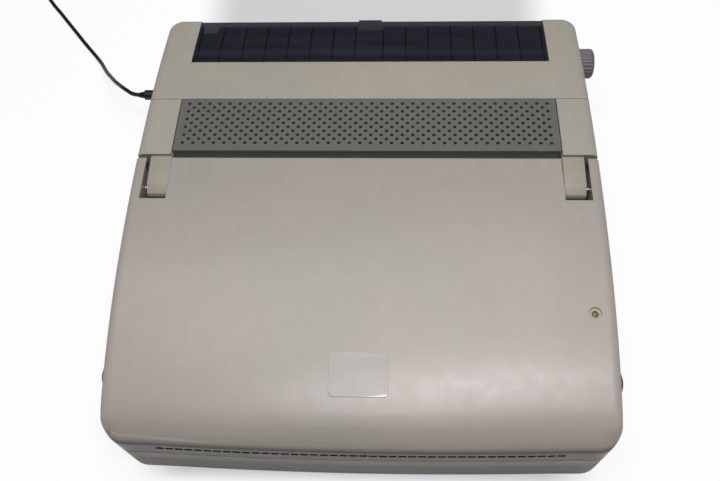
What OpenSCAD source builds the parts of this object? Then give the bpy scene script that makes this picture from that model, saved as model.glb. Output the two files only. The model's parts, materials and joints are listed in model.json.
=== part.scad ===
// Electronic word processor with a built-in printer: a deep lid over the
// keyboard at the front, a vented strip, and the printer housing at the rear.
// Millimetres. +X is the right side, -Y the front, +Z up, Z = 0 the table.

/* [Case] */
// Width of the case without knob and latches
body_w = 390; // [386:1:400]
// Depth of the case, front to back
body_d = 418; // [412:1:426]
// Height of the top of the lid's arch over the table
crown_z = 108; // [107:0.5:110]
// Place of the top of the arch, along Y
crown_y = -57; // [-62:1:-52]
// Radius of the arch in front of its top
front_arch_r = 520; // [500:5:560]
// Radius of the arch behind its top
rear_arch_r = 1000; // [960:5:1060]
// Thickness of the case walls
wall = 2.8; // [2.2:0.1:3.2]
// Radius of the two front corners, seen from above
front_corner_r = 18; // [14:1:36]
// Radius of the two rear corners, seen from above
rear_corner_r = 13; // [10:1:16]
// Height of the joint between lower case and the parts above it
split_z = 36; // [35:0.5:38]
// Height of the rubber feet
foot_h = 3; // [2.5:0.5:4]
// Radius of the rubber feet
foot_r = 9; // [7:0.5:11]

/* [Lid] */
// Height of the joint under the lid at the front edge
seam_z = 49; // [48:0.5:51]
// Height of the crease above the lid's front rim
crease_z = 73.5; // [72:0.5:75]
// Distance from the front edge to where the arch turns into the front slope
slope_l = 28; // [24:1:34]
// Radius of the front slope
nose_r = 44; // [42:1:48]
// Place of the lid's rear edge
lid_rear_y = 32; // [31:0.5:33]
// Place of the hinge axis
hinge_y = 9; // [8:0.5:10]
// Height of the hinge axis
hinge_z = 92.5; // [92:0.25:93]
// Radius of the hinge pins
pin_r = 3; // [2.5:0.25:3.5]
// Gap between the closed lid and the deck under it
lid_gap = 0.4; // [0.3:0.1:0.8]
// Depth of the inner cover above the lid's rim
bezel_rise = 9; // [8:0.5:12]

/* [Hinge arms] */
// Distance from the middle to the inner side of an arm
arm_in = 165.2; // [164:0.2:166]
// Width of an arm
arm_w = 18.4; // [17:0.2:19]
// Depth of an arm from top to underside
arm_t = 9.2; // [8.6:0.2:9.4]
// Radius of the rounded front end of an arm
arm_nose_r = 8.7; // [8:0.1:9]
// Front edge of the notch that the arm lies in
notch_front_y = -9; // [-11:0.5:-8]

/* [Rear housing] */
// Front edge of the side panels
panel_front_y = 36; // [35.8:0.1:36.5]
// Front edge of the vent grille
vent_front_y = 40; // [39.5:0.5:41]
// Rear edge of the vent grille
vent_rear_y = 98.5; // [97:0.5:100]
// Distance from the middle to the side edge of grille and window
span_half = 165; // [163.5:0.1:165.1]
// Distance between neighbouring holes in a row
hole_pitch = 9; // [8.5:0.25:9]
// Radius of the grille's holes
hole_r = 1.55; // [1.2:0.05:1.8]
// Front edge of the smoked paper cover
window_front_y = 147; // [145:0.5:149]
// Distance between neighbouring ribs of the paper cover
rib_pitch = 21.1; // [19:0.1:22]

/* [Printer] */
// Place of the platen axis
platen_y = 171; // [169:0.5:173]
// Height of the platen axis
platen_z = 52; // [51:0.5:53]
// Radius of the rubber platen
platen_r = 11; // [9:0.5:11]
// Radius of the platen shaft
shaft_r = 4; // [3:0.5:4.5]
// Radius of the paper knob
knob_r = 14; // [12:0.5:15]
// Distance that the paper knob stands out of the side
knob_reach = 19.5; // [17:0.5:22]
// Place of the rod that carries the carriage
rod_y = 138; // [136:0.5:139]
// Height of that rod
rod_z = 38; // [37.5:0.5:39]
// Radius of that rod
rod_r = 4; // [3:0.5:5]
// Teeth of the platen gear
gear_teeth = 40; // [36:1:42]
// Teeth of the motor's pinion
pinion_teeth = 12; // [12:1:14]
// Size of the gear teeth
gear_module = 1; // [0.9:0.05:1]

/* [Keyboard] */
// Distance between neighbouring keys
key_pitch = 19.05; // [18:0.05:19.2]
// Height of a key cap
key_h = 8; // [7:0.5:9]
// Travel of a key
key_travel = 3; // [2:0.5:3.5]
// Place of the front row behind the front edge, along the deck
first_row = 52; // [48:1:56]

/* [Screen and disk drive] */
// Width of the screen
screen_w = 224; // [200:2:240]
// Height of the screen
screen_h = 96; // [80:2:110]
// Width of the disk drive
drive_w = 101.6; // [96:0.2:104]
// Length of the disk drive
drive_l = 140; // [130:1:145]
// Height of the disk drive
drive_h = 25.4; // [24:0.2:26]

/* [Lead] */
// Diameter of the low-voltage lead
lead_d = 4; // [3.8:0.1:4.2]
// Place of the power socket in the left side
jack_y = 138; // [134:1:140]
// Height of the power socket
jack_z = 48; // [46:1:50]

/* [Hidden] */

$fn = 64;
fine = 256;
fit = 0.2;
run_fit = 0.05;
eps = 0.01;
far = 600;

latch_reach = 4;
frame_x = (latch_reach - knob_reach) / 2;
side_x = body_w / 2;
front_y = -body_d / 2;
rear_y = body_d / 2;
floor_z = foot_h + wall;
inner_x = side_x - wall;
slope_y = front_y + slope_l;

function arch_z(y) = y < crown_y
    ? crown_z - front_arch_r + sqrt(pow(front_arch_r, 2) - pow(y - crown_y, 2))
    : crown_z - rear_arch_r + sqrt(pow(rear_arch_r, 2) - pow(y - crown_y, 2));

// The front slope is an arc that leaves the arch without a step.
nose_lean = (slope_y - crown_y) / front_arch_r;
nose_normal = [nose_lean, sqrt(1 - pow(nose_lean, 2))];
nose_centre = [slope_y, arch_z(slope_y)] - nose_r * nose_normal;
crease_y = nose_centre[0] - sqrt(pow(nose_r, 2) - pow(crease_z - nose_centre[1], 2));

// The lid's rear is a barrel about the hinge axis, and the deck has a
// trough round it. The joint line under the lid is tangent to both.
barrel_r = norm([lid_rear_y - hinge_y, arch_z(lid_rear_y) - hinge_z]);
trough_gap = 0.8;
trough_r = barrel_r + trough_gap;
hinge_reach = norm([hinge_y - front_y, hinge_z - seam_z]);
hinge_rise = atan2(hinge_z - seam_z, hinge_y - front_y);
deck_tilt = hinge_rise - asin(trough_r / hinge_reach);
lid_tilt = atan2(hinge_z - seam_z - lid_gap, hinge_y - front_y)
    - asin(barrel_r / norm([hinge_y - front_y, hinge_z - seam_z - lid_gap]));
shelf_z = hinge_z - 1.5;
deck_rear_y = vent_front_y + 2.5;
notch_gap_in = 1.4;
notch_gap_out = 2.2;
notch_in = arm_in - notch_gap_in;
notch_out = arm_in + arm_w + notch_gap_out;
arm_top = arch_z(panel_front_y) - wall - fit;
cheek = 3;

// Distance of a foot's middle from the case's side, and from its front or rear
foot_inset = [40, 34];

// Screws through the lower case: into the deck and into the rear cover
screw_r = 1.5;
boss_r = 4;
deck_screws = [[-side_x + 45, front_y + 17], [side_x - 45, front_y + 17],
    [-side_x + 7.6, -72], [side_x - 7.6, -92]];
cover_screws = [for (x = [-1, 1] * (side_x - 11), y = [vent_rear_y + 8.5, rear_y - 15]) [x, y]];

cover_front_y = vent_rear_y + 0.5;
window_rear_y = rear_y - 2.8;
window_half = span_half - 0.7;
cover_t = 2.3;
cover_hinge_y = rear_y - 7;
cover_hinge_z = arch_z(cover_hinge_y) - 4.7;
cover_pin_r = 2;

plate_x = side_x - 25;
plate_t = 1.6;
frame_z = floor_z + 2.2;
frame_front_y = vent_rear_y + 9.5;
frame_rear_y = rear_y - 6;
pitch_r = gear_module * gear_teeth / 2;
pinion_pitch_r = gear_module * pinion_teeth / 2;
gear_w = 5;
mesh_angle = -70;
pinion_y = platen_y + (pitch_r + pinion_pitch_r) * cos(mesh_angle);
pinion_z = platen_z + (pitch_r + pinion_pitch_r) * sin(mesh_angle);
feed_motor_r = 11;
pinch_r = 5;
pinch_shaft_r = 2;
paper_gap = 0.3;
pinch_angle = -110;
pinch_y = platen_y + (platen_r + pinch_r + paper_gap) * cos(pinch_angle);
pinch_z = platen_z + (platen_r + pinch_r + paper_gap) * sin(pinch_angle);
roller_half = 158;

// Carriage, its belt and pulleys
home_x = -120;
carriage_half = 25;
pulley_x = 151;
pulley_z = 21;
pulley_r = 7;
belt_t = 1;
belt_w = 6;
belt_y = rod_y - 10;
rail_y = rod_y - 24;

drive_y = -11;
drive_z = floor_z;
slot_w = 92.4;
slot_h = 5;
slot_z = drive_z + 13.7;
board_z = floor_z + 6;
board_t = 1.6;
board_left = -side_x + 17;
board_w = 218;
board_right = board_left + board_w;
board_front = front_y + 24;
board_rear = 34;
supply_left = board_left + 28;
supply_w = 170;
supply_right = supply_left + supply_w;
supply_front = board_rear + 12;
supply_rear = frame_front_y - 8;

key_rows = [
    [1.25, 1.25, 1.25, -4.5, 1.25, 1.25, 1.25, 1.5, 1.5, -0.5, 1, 1, 1],
    [2.25, 1, 1, 1, 1, 1, 1, 1, 1, 1, 1, 2.75, -0.5, 1, 1, 1],
    [1.75, 1, 1, 1, 1, 1, 1, 1, 1, 1, 1, 1, 2.25, -0.5, 1, 1, 1],
    [1.5, 1, 1, 1, 1, 1, 1, 1, 1, 1, 1, 1, 1, 1.5, -0.5, 1, 1, 1],
    [1, 1, 1, 1, 1, 1, 1, 1, 1, 1, 1, 1, 1, 2, -0.5, 1, 1, 1],
    [1.5, 1.5, 1.5, 1.5, 1.5, 1.5, 1.5, 1.5, 1.5, 1.5, -0.5, 1, 1, 1]];
row_units = 18.5;
space_units = 4.5;
space_start = 3.75;
key_gap = 1.4;
function_gap = 4;
function_d = 15;
key_top = 4.8;
stem_r = 2.6;
plate_top = key_top - key_h - key_travel - 0.8;
keys_half = row_units * key_pitch / 2 + 2;
function_row = first_row + 5 * key_pitch + function_gap;
keys_from = first_row - key_pitch / 2 - 1.5;
keys_to = function_row + function_d / 2 + 1.5;

bezel_t = 2;
bezel_end = 193;
screen_y = 112;
latch_y = -155;
latch_z = 87;
latch_travel = 2.5;
lamp = [178.7, -106.5];
badge = [0, -154.7];
badge_size = [45, 33];

// Low-voltage lead. The route's points are distances from the plug's end,
// and the last one is the start of the coil.
plug_l = 22;
relief_l = 6;
lead_start = [frame_x - side_x - plug_l - relief_l, jack_y, jack_z];
lead_lift = lead_d / 2 + 0.05;
lead_route = [[0, 0, 0], [-7, 1.5, 0], [-13, 6, -1.5], [-19, 11.5, -4],
    [-25, 18, -8], [-32, 26, -13], [-39, 35.5, -19.5], [-47, 46.5, -27],
    [-54, 57.5, -34], [-61, 69, -40], [-68.5, 79.5, -44], [-77, 90, lead_lift - jack_z],
    [-86, 100.5, lead_lift - jack_z], [-95, 111.5, lead_lift - jack_z],
    [-104, 122.5, lead_lift - jack_z], [-113, 133.5, lead_lift - jack_z],
    [-122, 144.5, lead_lift - jack_z], [-131, 155, lead_lift - jack_z],
    [-139, 166, lead_lift - jack_z], [-146, 178, lead_lift - jack_z],
    [-150, 191, lead_lift - jack_z], [-151, 205, lead_lift - jack_z],
    [-151, 212, lead_lift - jack_z]];
coil_step = 5;
coil_out_r = 28.5;
coil_turns = 3;
coil_layers = 4;
coil_sides = 6;
coil_rings = 24;
coil_start = lead_start + lead_route[len(lead_route) - 1];
coil_centre = coil_start + [coil_out_r, lead_d, 0];

// Extrudes a YZ outline along X, centred on the middle.
module along_x(w) {
    rotate([90, 0, 90]) linear_extrude(w, center = true) children();
}

// The same between two places on X.
module between_x(a, b) {
    translate([a, 0, 0]) rotate([90, 0, 90]) linear_extrude(b - a) children();
}

// A box from its lowest to its highest corner.
module block(low, high) {
    translate(low) cube(high - low);
}

// Moves the whole object so that its overall box is centred on X.
module seated() {
    translate([frame_x, 0, 0]) children();
}

// The tilted plane of the deck, and of the lid's rim.
module on_deck() {
    translate([0, front_y, seam_z]) rotate([deck_tilt, 0, 0]) children();
}

module on_lid() {
    translate([0, front_y, seam_z + lid_gap]) rotate([lid_tilt, 0, 0]) children();
}

// The case from above, drawn in by inset.
module plan_2d(inset = 0) {
    w = side_x - inset;
    f = front_y + inset;
    r = rear_y - inset;
    rf = front_corner_r - inset;
    rr = rear_corner_r - inset;
    translate([-w, f + rf]) square([2 * w, r - rr - f - rf]);
    translate([-w + rf, f]) square([2 * (w - rf), rf + 1]);
    translate([-w + rr, r - rr - 1]) square([2 * (w - rr), rr + 1]);
    for (s = [-1, 1]) {
        translate([s * (w - rf), f + rf]) circle(rf, $fn = 96);
        translate([s * (w - rr), r - rr]) circle(rr, $fn = 96);
    }
}

module plan(inset, z0, z1) {
    translate([0, 0, z0]) linear_extrude(z1 - z0) plan_2d(inset);
}

// Everything under the arch, seen from the side, drawn in by inset.
module arch_2d(inset = 0) {
    intersection() {
        translate([crown_y, crown_z - front_arch_r])
            circle(front_arch_r - inset, $fn = fine);
        translate([crown_y - far, -far]) square([far + 1, 2 * far]);
    }
    intersection() {
        translate([crown_y, crown_z - rear_arch_r])
            circle(rear_arch_r - inset, $fn = fine);
        translate([crown_y, -far]) square([far, 2 * far]);
    }
}

// A screw boss with a bore from its lower end.
module boss(place, z0, z1, r = boss_r, bore = screw_r, depth = 8) {
    translate([place[0], place[1], z0]) difference() {
        cylinder(h = z1 - z0, r = r);
        translate([0, 0, -1]) cylinder(h = depth + 1, r = bore);
    }
}

// Lower case and what stands on it
module lower_case() {
    posts = [for (x = [board_left + 8, board_right - 10],
        y = [board_front + 9, board_rear - 6]) [x, y]];
    color([0.55, 0.53, 0.50]) seated() difference() {
        union() {
            difference() {
                plan(0, foot_h, split_z);
                plan(wall, floor_z, split_z + 1);
            }
            for (p = concat(deck_screws, cover_screws))
                translate([p[0], p[1], floor_z - 1])
                    cylinder(h = split_z - floor_z + 1, r = boss_r);
            for (p = posts)
                translate([p[0], p[1], floor_z - 1])
                    cylinder(h = board_z - floor_z + 1, r = 4);
            for (x = [supply_left + 10, supply_right - 10],
                y = [supply_front + 6, supply_rear - 6])
                translate([x, y, floor_z - 1])
                    cylinder(h = board_z - floor_z + 1, r = 4);
            for (x = [-1, 0, 1] * (plate_x - 10), y = [frame_front_y + 8, frame_rear_y - 8])
                translate([x, y, floor_z - 1])
                    cylinder(h = frame_z - floor_z + 1, r = 5);
            for (s = [-1, 1])
                block([s * (arm_in + arm_w / 2) - 8, 47, floor_z - 1],
                    [s * (arm_in + arm_w / 2) + 8, 60, split_z]);
            block([-inner_x + 1, jack_y - 6, floor_z - 1],
                [-inner_x + 13, jack_y + 6, jack_z - 7]);
        }
        for (p = concat(deck_screws, cover_screws)) translate([p[0], p[1], 0]) {
            cylinder(h = split_z + 1, r = screw_r + 0.2);
            cylinder(h = foot_h + 5, r = 3.2);
        }
        block([inner_x - 1, drive_y - drive_w / 2 - 0.7, floor_z],
            [side_x + 1, drive_y + drive_w / 2 + 0.7, floor_z + drive_h + 0.8]);
    }
}

module rubber_feet() {
    color([0.12, 0.12, 0.12]) seated()
        for (x = [-1, 1] * (side_x - foot_inset[0]),
            y = [front_y + foot_inset[1], rear_y - foot_inset[1]])
            translate([x, y, 0]) cylinder(h = foot_h, r = foot_r);
}

module case_screws() {
    color([0.7, 0.7, 0.72]) seated()
        for (p = concat(deck_screws, cover_screws))
            translate([p[0], p[1], foot_h + 2.2]) {
                cylinder(h = 2.8, r = 2.9);
                cylinder(h = split_z - foot_h + 4, r = screw_r);
            }
}

// Keyboard deck, seen from the side: under the joint line and outside the
// trough that the lid's rear turns in.
module deck_side_2d(inset) {
    reach = trough_r + inset;
    foot = [hinge_y + reach * sin(deck_tilt), hinge_z - reach * cos(deck_tilt)];
    low = front_y - 5;
    difference() {
        polygon([[low, 0], [low, foot[1] - (foot[0] - low) * tan(deck_tilt)], foot,
            [foot[0], shelf_z - inset], [deck_rear_y - inset, shelf_z - inset],
            [deck_rear_y - inset, 0]]);
        translate([hinge_y, hinge_z]) circle(reach, $fn = fine);
    }
}

module keyboard_deck() {
    color([0.60, 0.58, 0.54]) seated() {
        difference() {
            intersection() {
                along_x(body_w + 2) deck_side_2d(0);
                plan(0, split_z, crown_z);
            }
            intersection() {
                along_x(2 * inner_x) deck_side_2d(wall);
                plan(wall, split_z - 1, crown_z);
            }
            on_deck() block([-keys_half, keys_from, -8], [keys_half, keys_to, 8]);
        }
        for (p = deck_screws) intersection() {
            boss(p, split_z, crown_z);
            along_x(body_w) deck_side_2d(1);
        }
        on_deck() for (x = [-1, 1], y = [keys_from - 5, keys_to + 5])
            translate([x * (keys_half - 12), y, plate_top])
                cylinder(h = -plate_top - 1, r = 4);
    }
}

// Side panels: a roof, an outer wall and a front face with the arm's slot
module side_panel(s) {
    panel_in = span_half + 0.7;
    mirror([s < 0 ? 1 : 0, 0, 0]) difference() {
        intersection() {
            between_x(panel_in, side_x) intersection() {
                arch_2d(0);
                polygon([[panel_front_y, shelf_z + fit], [panel_front_y, far],
                    [vent_rear_y, far], [vent_rear_y, split_z],
                    [deck_rear_y + fit, split_z], [deck_rear_y + fit, shelf_z + fit]]);
            }
            plan(0, 0, crown_z);
        }
        between_x(panel_in - 1, inner_x) intersection() {
            arch_2d(wall);
            translate([panel_front_y + wall, 0]) square([far, far]);
        }
        block([panel_in - 1, panel_front_y - 1, 0],
            [arm_in + arm_w + 0.5, panel_front_y + wall + 1, arm_top + fit]);
    }
}

module side_panel_left() {
    color([0.60, 0.58, 0.54]) seated() side_panel(-1);
}

module side_panel_right() {
    color([0.60, 0.58, 0.54]) seated() side_panel(1);
}

// Hinge arms: a bar with a rounded end round the hinge pin, on a leg that
// stands on the lower case
module hinge_arm(s) {
    leg_y = 47;
    leg_w = 13;
    mirror([s < 0 ? 1 : 0, 0, 0]) between_x(arm_in, arm_in + arm_w) difference() {
        union() {
            translate([hinge_y, hinge_z]) circle(arm_nose_r);
            intersection() {
                union() {
                    translate([hinge_y, arm_top - arm_t])
                        square([leg_y + leg_w - hinge_y, arm_t]);
                    translate([leg_y, split_z]) square([leg_w, arm_top - split_z]);
                }
                arch_2d(wall + fit);
            }
        }
        translate([hinge_y, hinge_z]) circle(pin_r + run_fit);
    }
}

module hinge_arm_left() {
    color([0.61, 0.59, 0.54]) seated() hinge_arm(-1);
}

module hinge_arm_right() {
    color([0.61, 0.59, 0.54]) seated() hinge_arm(1);
}

// Vent grille: a flat plate with staggered rows of round holes, on a skirt
vent_rise = atan2(arch_z(vent_rear_y) - arch_z(vent_front_y),
    vent_rear_y - vent_front_y);
vent_l = norm([vent_rear_y - vent_front_y, arch_z(vent_rear_y) - arch_z(vent_front_y)]);
vent_t = 2.5;
first_hole = 8.6;
hole_rows = 11;
holes_in_row = 36;

module vent_grille() {
    color([0.41, 0.43, 0.42]) seated() {
        translate([0, vent_front_y, arch_z(vent_front_y)]) rotate([vent_rise, 0, 0]) {
            translate([0, 0, -vent_t]) linear_extrude(vent_t) difference() {
                translate([-span_half, 0]) square([2 * span_half, vent_l]);
                for (row = [0 : hole_rows - 1]) {
                    count = holes_in_row - row % 2;
                    for (k = [0 : count - 1])
                        translate([(k - (count - 1) / 2) * hole_pitch,
                            first_hole + row * hole_pitch / 2])
                            circle(hole_r, $fn = 24);
                }
            }
            for (s = [-1, 1])
                block([s * (span_half - 1.25) - 1.25, 2, -6],
                    [s * (span_half - 1.25) + 1.25, vent_l - 4, -vent_t]);
        }
        block([-span_half, vent_front_y, shelf_z],
            [span_half, deck_rear_y, arch_z(vent_front_y) - vent_t]);
    }
}

// Rear cover over the printer, with the opening of the smoked paper cover
module rear_cover() {
    color([0.64, 0.62, 0.58]) seated() difference() {
        union() {
            difference() {
                intersection() {
                    along_x(body_w + 2) intersection() {
                        arch_2d(0);
                        translate([cover_front_y, 0]) square([far, far]);
                    }
                    plan(0, split_z, crown_z);
                }
                intersection() {
                    along_x(body_w) arch_2d(wall);
                    plan(wall, 0, crown_z);
                }
                block([-window_half - 0.3, window_front_y - 0.5, arch_z(rear_y) - 12],
                    [window_half + 0.3, window_rear_y, crown_z]);
                block([-window_half - 0.3, window_front_y, cover_hinge_z - 6],
                    [window_half + 0.3, rear_y + 1, crown_z]);
                block([-13, window_rear_y - 1, cover_hinge_z - 12],
                    [13, rear_y + 1, crown_z]);
            }
            // ledges under the grille and under the paper cover's front edge
            along_x(2 * span_half - 12) band_2d(cover_front_y - 3.5, cover_front_y + 3,
                -wall, 3);
            along_x(2 * window_half + 4) band_2d(window_front_y - 4, window_front_y + 2.5,
                -cover_t - 0.4, 2.6);
            // cheeks that carry the paper cover's pins
            for (s = [-1, 1])
                between_x(s * (window_half + 1.8) - 1.2, s * (window_half + 1.8) + 1.2)
                    intersection() {
                        arch_2d(1);
                        translate([window_front_y, cover_hinge_z - 9])
                            square([rear_y - window_front_y - 1.5, far]);
                    }
            for (p = cover_screws) intersection() {
                boss(p, split_z, crown_z);
                along_x(body_w) arch_2d(1);
            }
        }
        translate([0, cover_hinge_y, cover_hinge_z]) rotate([0, 90, 0])
            cylinder(h = 2 * window_half + 12, r = cover_pin_r + run_fit, center = true);
        translate([side_x - 2 * wall, platen_y, platen_z]) rotate([0, 90, 0])
            cylinder(h = 3 * wall, r = shaft_r + 1);
        translate([-side_x - wall, jack_y, jack_z]) rotate([0, 90, 0])
            cylinder(h = 3 * wall, r = 5.6);
        block([-side_x - 1, jack_y - 32, jack_z + 2], [-inner_x + 1, jack_y - 19, jack_z + 8]);
    }
}

// A strip that follows the arch: top face at drop under it, t thick.
module band_2d(y0, y1, drop, t) {
    intersection() {
        difference() {
            arch_2d(-drop);
            arch_2d(-drop + t);
        }
        translate([y0, 0]) square([y1 - y0, far]);
    }
}

// Smoked paper cover with ribs under it, two pins and a middle stop
module paper_cover() {
    plate_rear_y = window_rear_y - 0.3;
    color([0.16, 0.16, 0.19, 0.7]) seated() {
        along_x(2 * window_half) band_2d(window_front_y, plate_rear_y, 0, cover_t);
        for (s = [-1, 1]) {
            for (k = [0 : 6])
                translate([s * (13 + k * rib_pitch), 0, 0]) along_x(1.4)
                    band_2d(window_front_y + 4, cover_hinge_y - 3, -cover_t + eps, 4);
            between_x(s * (window_half - 2) - 2, s * (window_half - 2) + 2) {
                band_2d(cover_hinge_y - 5, cover_hinge_y + 3, 0, 3);
                translate([cover_hinge_y, cover_hinge_z]) circle(3.4);
            }
            translate([s * (window_half - 1), cover_hinge_y, cover_hinge_z])
                rotate([0, s * 90, 0]) cylinder(h = 3.6, r = cover_pin_r);
        }
        along_x(22) band_2d(plate_rear_y - 2, rear_y - 0.6, 0, 1.8);
    }
}

// Gear outline with involute flanks: m is the module, n the teeth.
function involute(base, a) = base * [cos(a) + a * PI / 180 * sin(a),
    sin(a) - a * PI / 180 * cos(a)];
function turn(p, a) = [p[0] * cos(a) - p[1] * sin(a), p[0] * sin(a) + p[1] * cos(a)];

module gear_2d(m, n, bore) {
    r = m * n / 2;
    base = r * cos(20);
    tip = r + 0.9 * m;
    root = r - 1.2 * m;
    low = max(base, root);
    a_low = sqrt(pow(low / base, 2) - 1) * 180 / PI;
    a_tip = sqrt(pow(tip / base, 2) - 1) * 180 / PI;
    a_pitch = sqrt(pow(r / base, 2) - 1) * 180 / PI;
    at_pitch = involute(base, a_pitch);
    half = 90 / n - 1.6 / r + atan2(at_pitch[1], at_pitch[0]);
    flank = [for (k = [0 : 4]) turn(involute(base, a_low + (a_tip - a_low) * k / 4), -half)];
    tooth = concat([[root - 0.5, flank[0][1]]], flank,
        [for (k = [4 : -1 : 0]) [flank[k][0], -flank[k][1]]],
        [[root - 0.5, -flank[0][1]]]);
    difference() {
        union() {
            circle(root, $fn = 96);
            for (k = [0 : n - 1]) rotate(360 / n * k) polygon(tooth);
        }
        circle(bore);
    }
}

module platen_roller() {
    color([0.10, 0.10, 0.11]) seated() translate([0, platen_y, platen_z])
        rotate([0, 90, 0]) difference() {
            cylinder(h = 2 * roller_half, r = platen_r, center = true);
            cylinder(h = 2 * roller_half + 2, r = shaft_r, center = true);
        }
}

module platen_shaft() {
    left = plate_x + plate_t + gear_w + 2;
    right = side_x + 2;
    color([0.72, 0.72, 0.74]) seated() translate([-left, platen_y, platen_z])
        rotate([0, 90, 0]) cylinder(h = left + right, r = shaft_r);
}

module platen_gear() {
    color([0.85, 0.84, 0.80]) seated()
        translate([-plate_x - plate_t - 1 - gear_w, platen_y, platen_z])
            rotate([90, 0, 90]) linear_extrude(gear_w)
                gear_2d(gear_module, gear_teeth, shaft_r);
}

// Paper knob: a fluted rim with a chamfered end and a shallow dish
module platen_knob() {
    flutes = 30;
    knob_w = knob_reach - 1;
    edge = 2.5;
    color([0.38, 0.38, 0.41]) seated() translate([side_x + 1, platen_y, platen_z])
        rotate([0, 90, 0]) difference() {
            union() {
                linear_extrude(knob_w - edge) difference() {
                    circle(knob_r, $fn = 96);
                    for (k = [0 : flutes - 1]) rotate(360 / flutes * k)
                        translate([knob_r + 0.35, 0]) circle(0.95, $fn = 16);
                }
                translate([0, 0, knob_w - edge])
                    cylinder(h = edge, r1 = knob_r - 0.8, r2 = knob_r - edge);
            }
            translate([0, 0, knob_w - 1]) cylinder(h = 2, r = knob_r - edge - 3);
            translate([0, 0, -1]) cylinder(h = 2, r = shaft_r);
        }
}

module feed_motor() {
    color([0.55, 0.55, 0.58]) seated() translate([-plate_x, pinion_y, pinion_z])
        rotate([0, 90, 0]) {
            cylinder(h = 20, r = feed_motor_r);
            translate([0, 0, -plate_t - 1.5 - gear_w])
                cylinder(h = plate_t + gear_w + 3, r = 1.5);
        }
}

module feed_pinion() {
    turn_in = mesh_angle + 180 + (pinion_teeth % 2 == 0 ? 180 / pinion_teeth : 0);
    gear_turn = mesh_angle - round(mesh_angle * gear_teeth / 360) * 360 / gear_teeth;
    color([0.82, 0.80, 0.74]) seated()
        translate([-plate_x - plate_t - 1 - gear_w, pinion_y, pinion_z])
            rotate([90, 0, 90]) linear_extrude(gear_w)
                rotate(turn_in + gear_turn * gear_teeth / pinion_teeth)
                    gear_2d(gear_module, pinion_teeth, 1.5 + run_fit);
}

module pinch_rollers() {
    color([0.20, 0.20, 0.21]) seated() translate([0, pinch_y, pinch_z])
        rotate([0, 90, 0]) {
            cylinder(h = 2 * plate_x + 2 * plate_t, r = pinch_shaft_r, center = true);
            for (k = [-2.5 : 1 : 2.5]) translate([0, 0, k * 52])
                cylinder(h = 24, r = pinch_r, center = true);
        }
}

module paper_pan() {
    inner = platen_r + 2;
    ramp_half = 160;
    color([0.45, 0.45, 0.47]) seated() translate([0, platen_y, platen_z])
        along_x(2 * plate_x) {
            intersection() {
                difference() {
                    circle(inner + 1.2, $fn = 96);
                    circle(inner, $fn = 96);
                }
                polygon([[0, 0], [3, -40], [40, -40], [40, 14]]);
            }
        }
    color([0.45, 0.45, 0.47]) seated() translate([0, platen_y, platen_z])
        along_x(2 * ramp_half) translate([inner * cos(17), inner * sin(17)]) rotate(22)
            translate([0.4, 0]) square([15, 1.2]);
}

// Printer frame: a bent sheet with two side plates
module printer_frame() {
    side = [[frame_front_y, frame_z], [frame_rear_y, frame_z], [frame_rear_y, 58],
        [frame_rear_y - 12, 66], [150, 66], [140, 76], [frame_front_y, 76]];
    color([0.70, 0.71, 0.72]) seated() {
        difference() {
            union() {
                block([-plate_x - plate_t, frame_front_y, frame_z],
                    [plate_x + plate_t, frame_rear_y, frame_z + plate_t]);
                for (s = [-1, 1])
                    between_x(s * (plate_x + plate_t / 2) - plate_t / 2,
                        s * (plate_x + plate_t / 2) + plate_t / 2) polygon(side);
            }
            translate([0, platen_y, platen_z]) rotate([0, 90, 0])
                cylinder(h = body_w, r = shaft_r + run_fit, center = true);
            translate([0, pinch_y, pinch_z]) rotate([0, 90, 0])
                cylinder(h = body_w, r = pinch_shaft_r + run_fit, center = true);
            translate([0, rod_y, rod_z]) rotate([0, 90, 0])
                cylinder(h = body_w, r = rod_r, center = true);
            translate([-plate_x - plate_t / 2, pinion_y, pinion_z]) rotate([0, 90, 0])
                cylinder(h = 2 * plate_t, r = 2, center = true);
        }
        // seat of the carriage motor, and the stud of the idler pulley
        block([pulley_x - 10, belt_y - 28, frame_z + plate_t],
            [pulley_x + 10, belt_y - 8, pulley_z - 9]);
        block([-pulley_x - 4, belt_y - 10, frame_z + plate_t],
            [-pulley_x + 4, belt_y - belt_w / 2 - 1.8, pulley_z + 4]);
        translate([-pulley_x, belt_y - belt_w / 2 - 2.5, pulley_z]) rotate([-90, 0, 0])
            cylinder(h = belt_w + 4, r = 2);
    }
}

module guide_rod() {
    color([0.78, 0.78, 0.80]) seated() translate([0, rod_y, rod_z]) rotate([0, 90, 0])
        cylinder(h = 2 * plate_x + 2 * plate_t, r = rod_r, center = true);
}

module guide_rail() {
    color([0.66, 0.66, 0.68]) seated()
        block([-plate_x, rail_y - 2, 60], [plate_x, rail_y, 72]);
}

module carriage() {
    top = rod_z + 8;
    color([0.15, 0.15, 0.16]) seated() translate([home_x, 0, 0]) {
        difference() {
            union() {
                block([-carriage_half, rod_y - 12, rod_z - 8],
                    [carriage_half, rod_y + 12, top]);
                block([-carriage_half, rail_y + fit, top - 4],
                    [carriage_half, rod_y - 11, top]);
                block([-12, rail_y + fit, top - 1], [12, rail_y + fit + 2.5, 70]);
            }
            translate([0, rod_y, rod_z]) rotate([0, 90, 0])
                cylinder(h = body_w, r = rod_r + run_fit, center = true);
        }
        // clamp round the upper run of the belt
        block([-8, belt_y + belt_w / 2 + 0.4, pulley_z + pulley_r - 4],
            [8, belt_y + belt_w / 2 + 3, rod_z - 7]);
        block([-8, belt_y - belt_w / 2, pulley_z + pulley_r - 4],
            [8, belt_y + belt_w / 2 + 1, pulley_z + pulley_r - 0.4]);
    }
}

module print_head() {
    color([0.80, 0.78, 0.70]) seated() translate([home_x, 0, 0]) {
        block([-12, rod_y + 7.5, rod_z + 8], [12, platen_y - platen_r - 3.5, rod_z + 19]);
        block([-7, platen_y - platen_r - 4, platen_z - 3],
            [7, platen_y - platen_r - 0.6, platen_z + 3]);
    }
}

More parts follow.
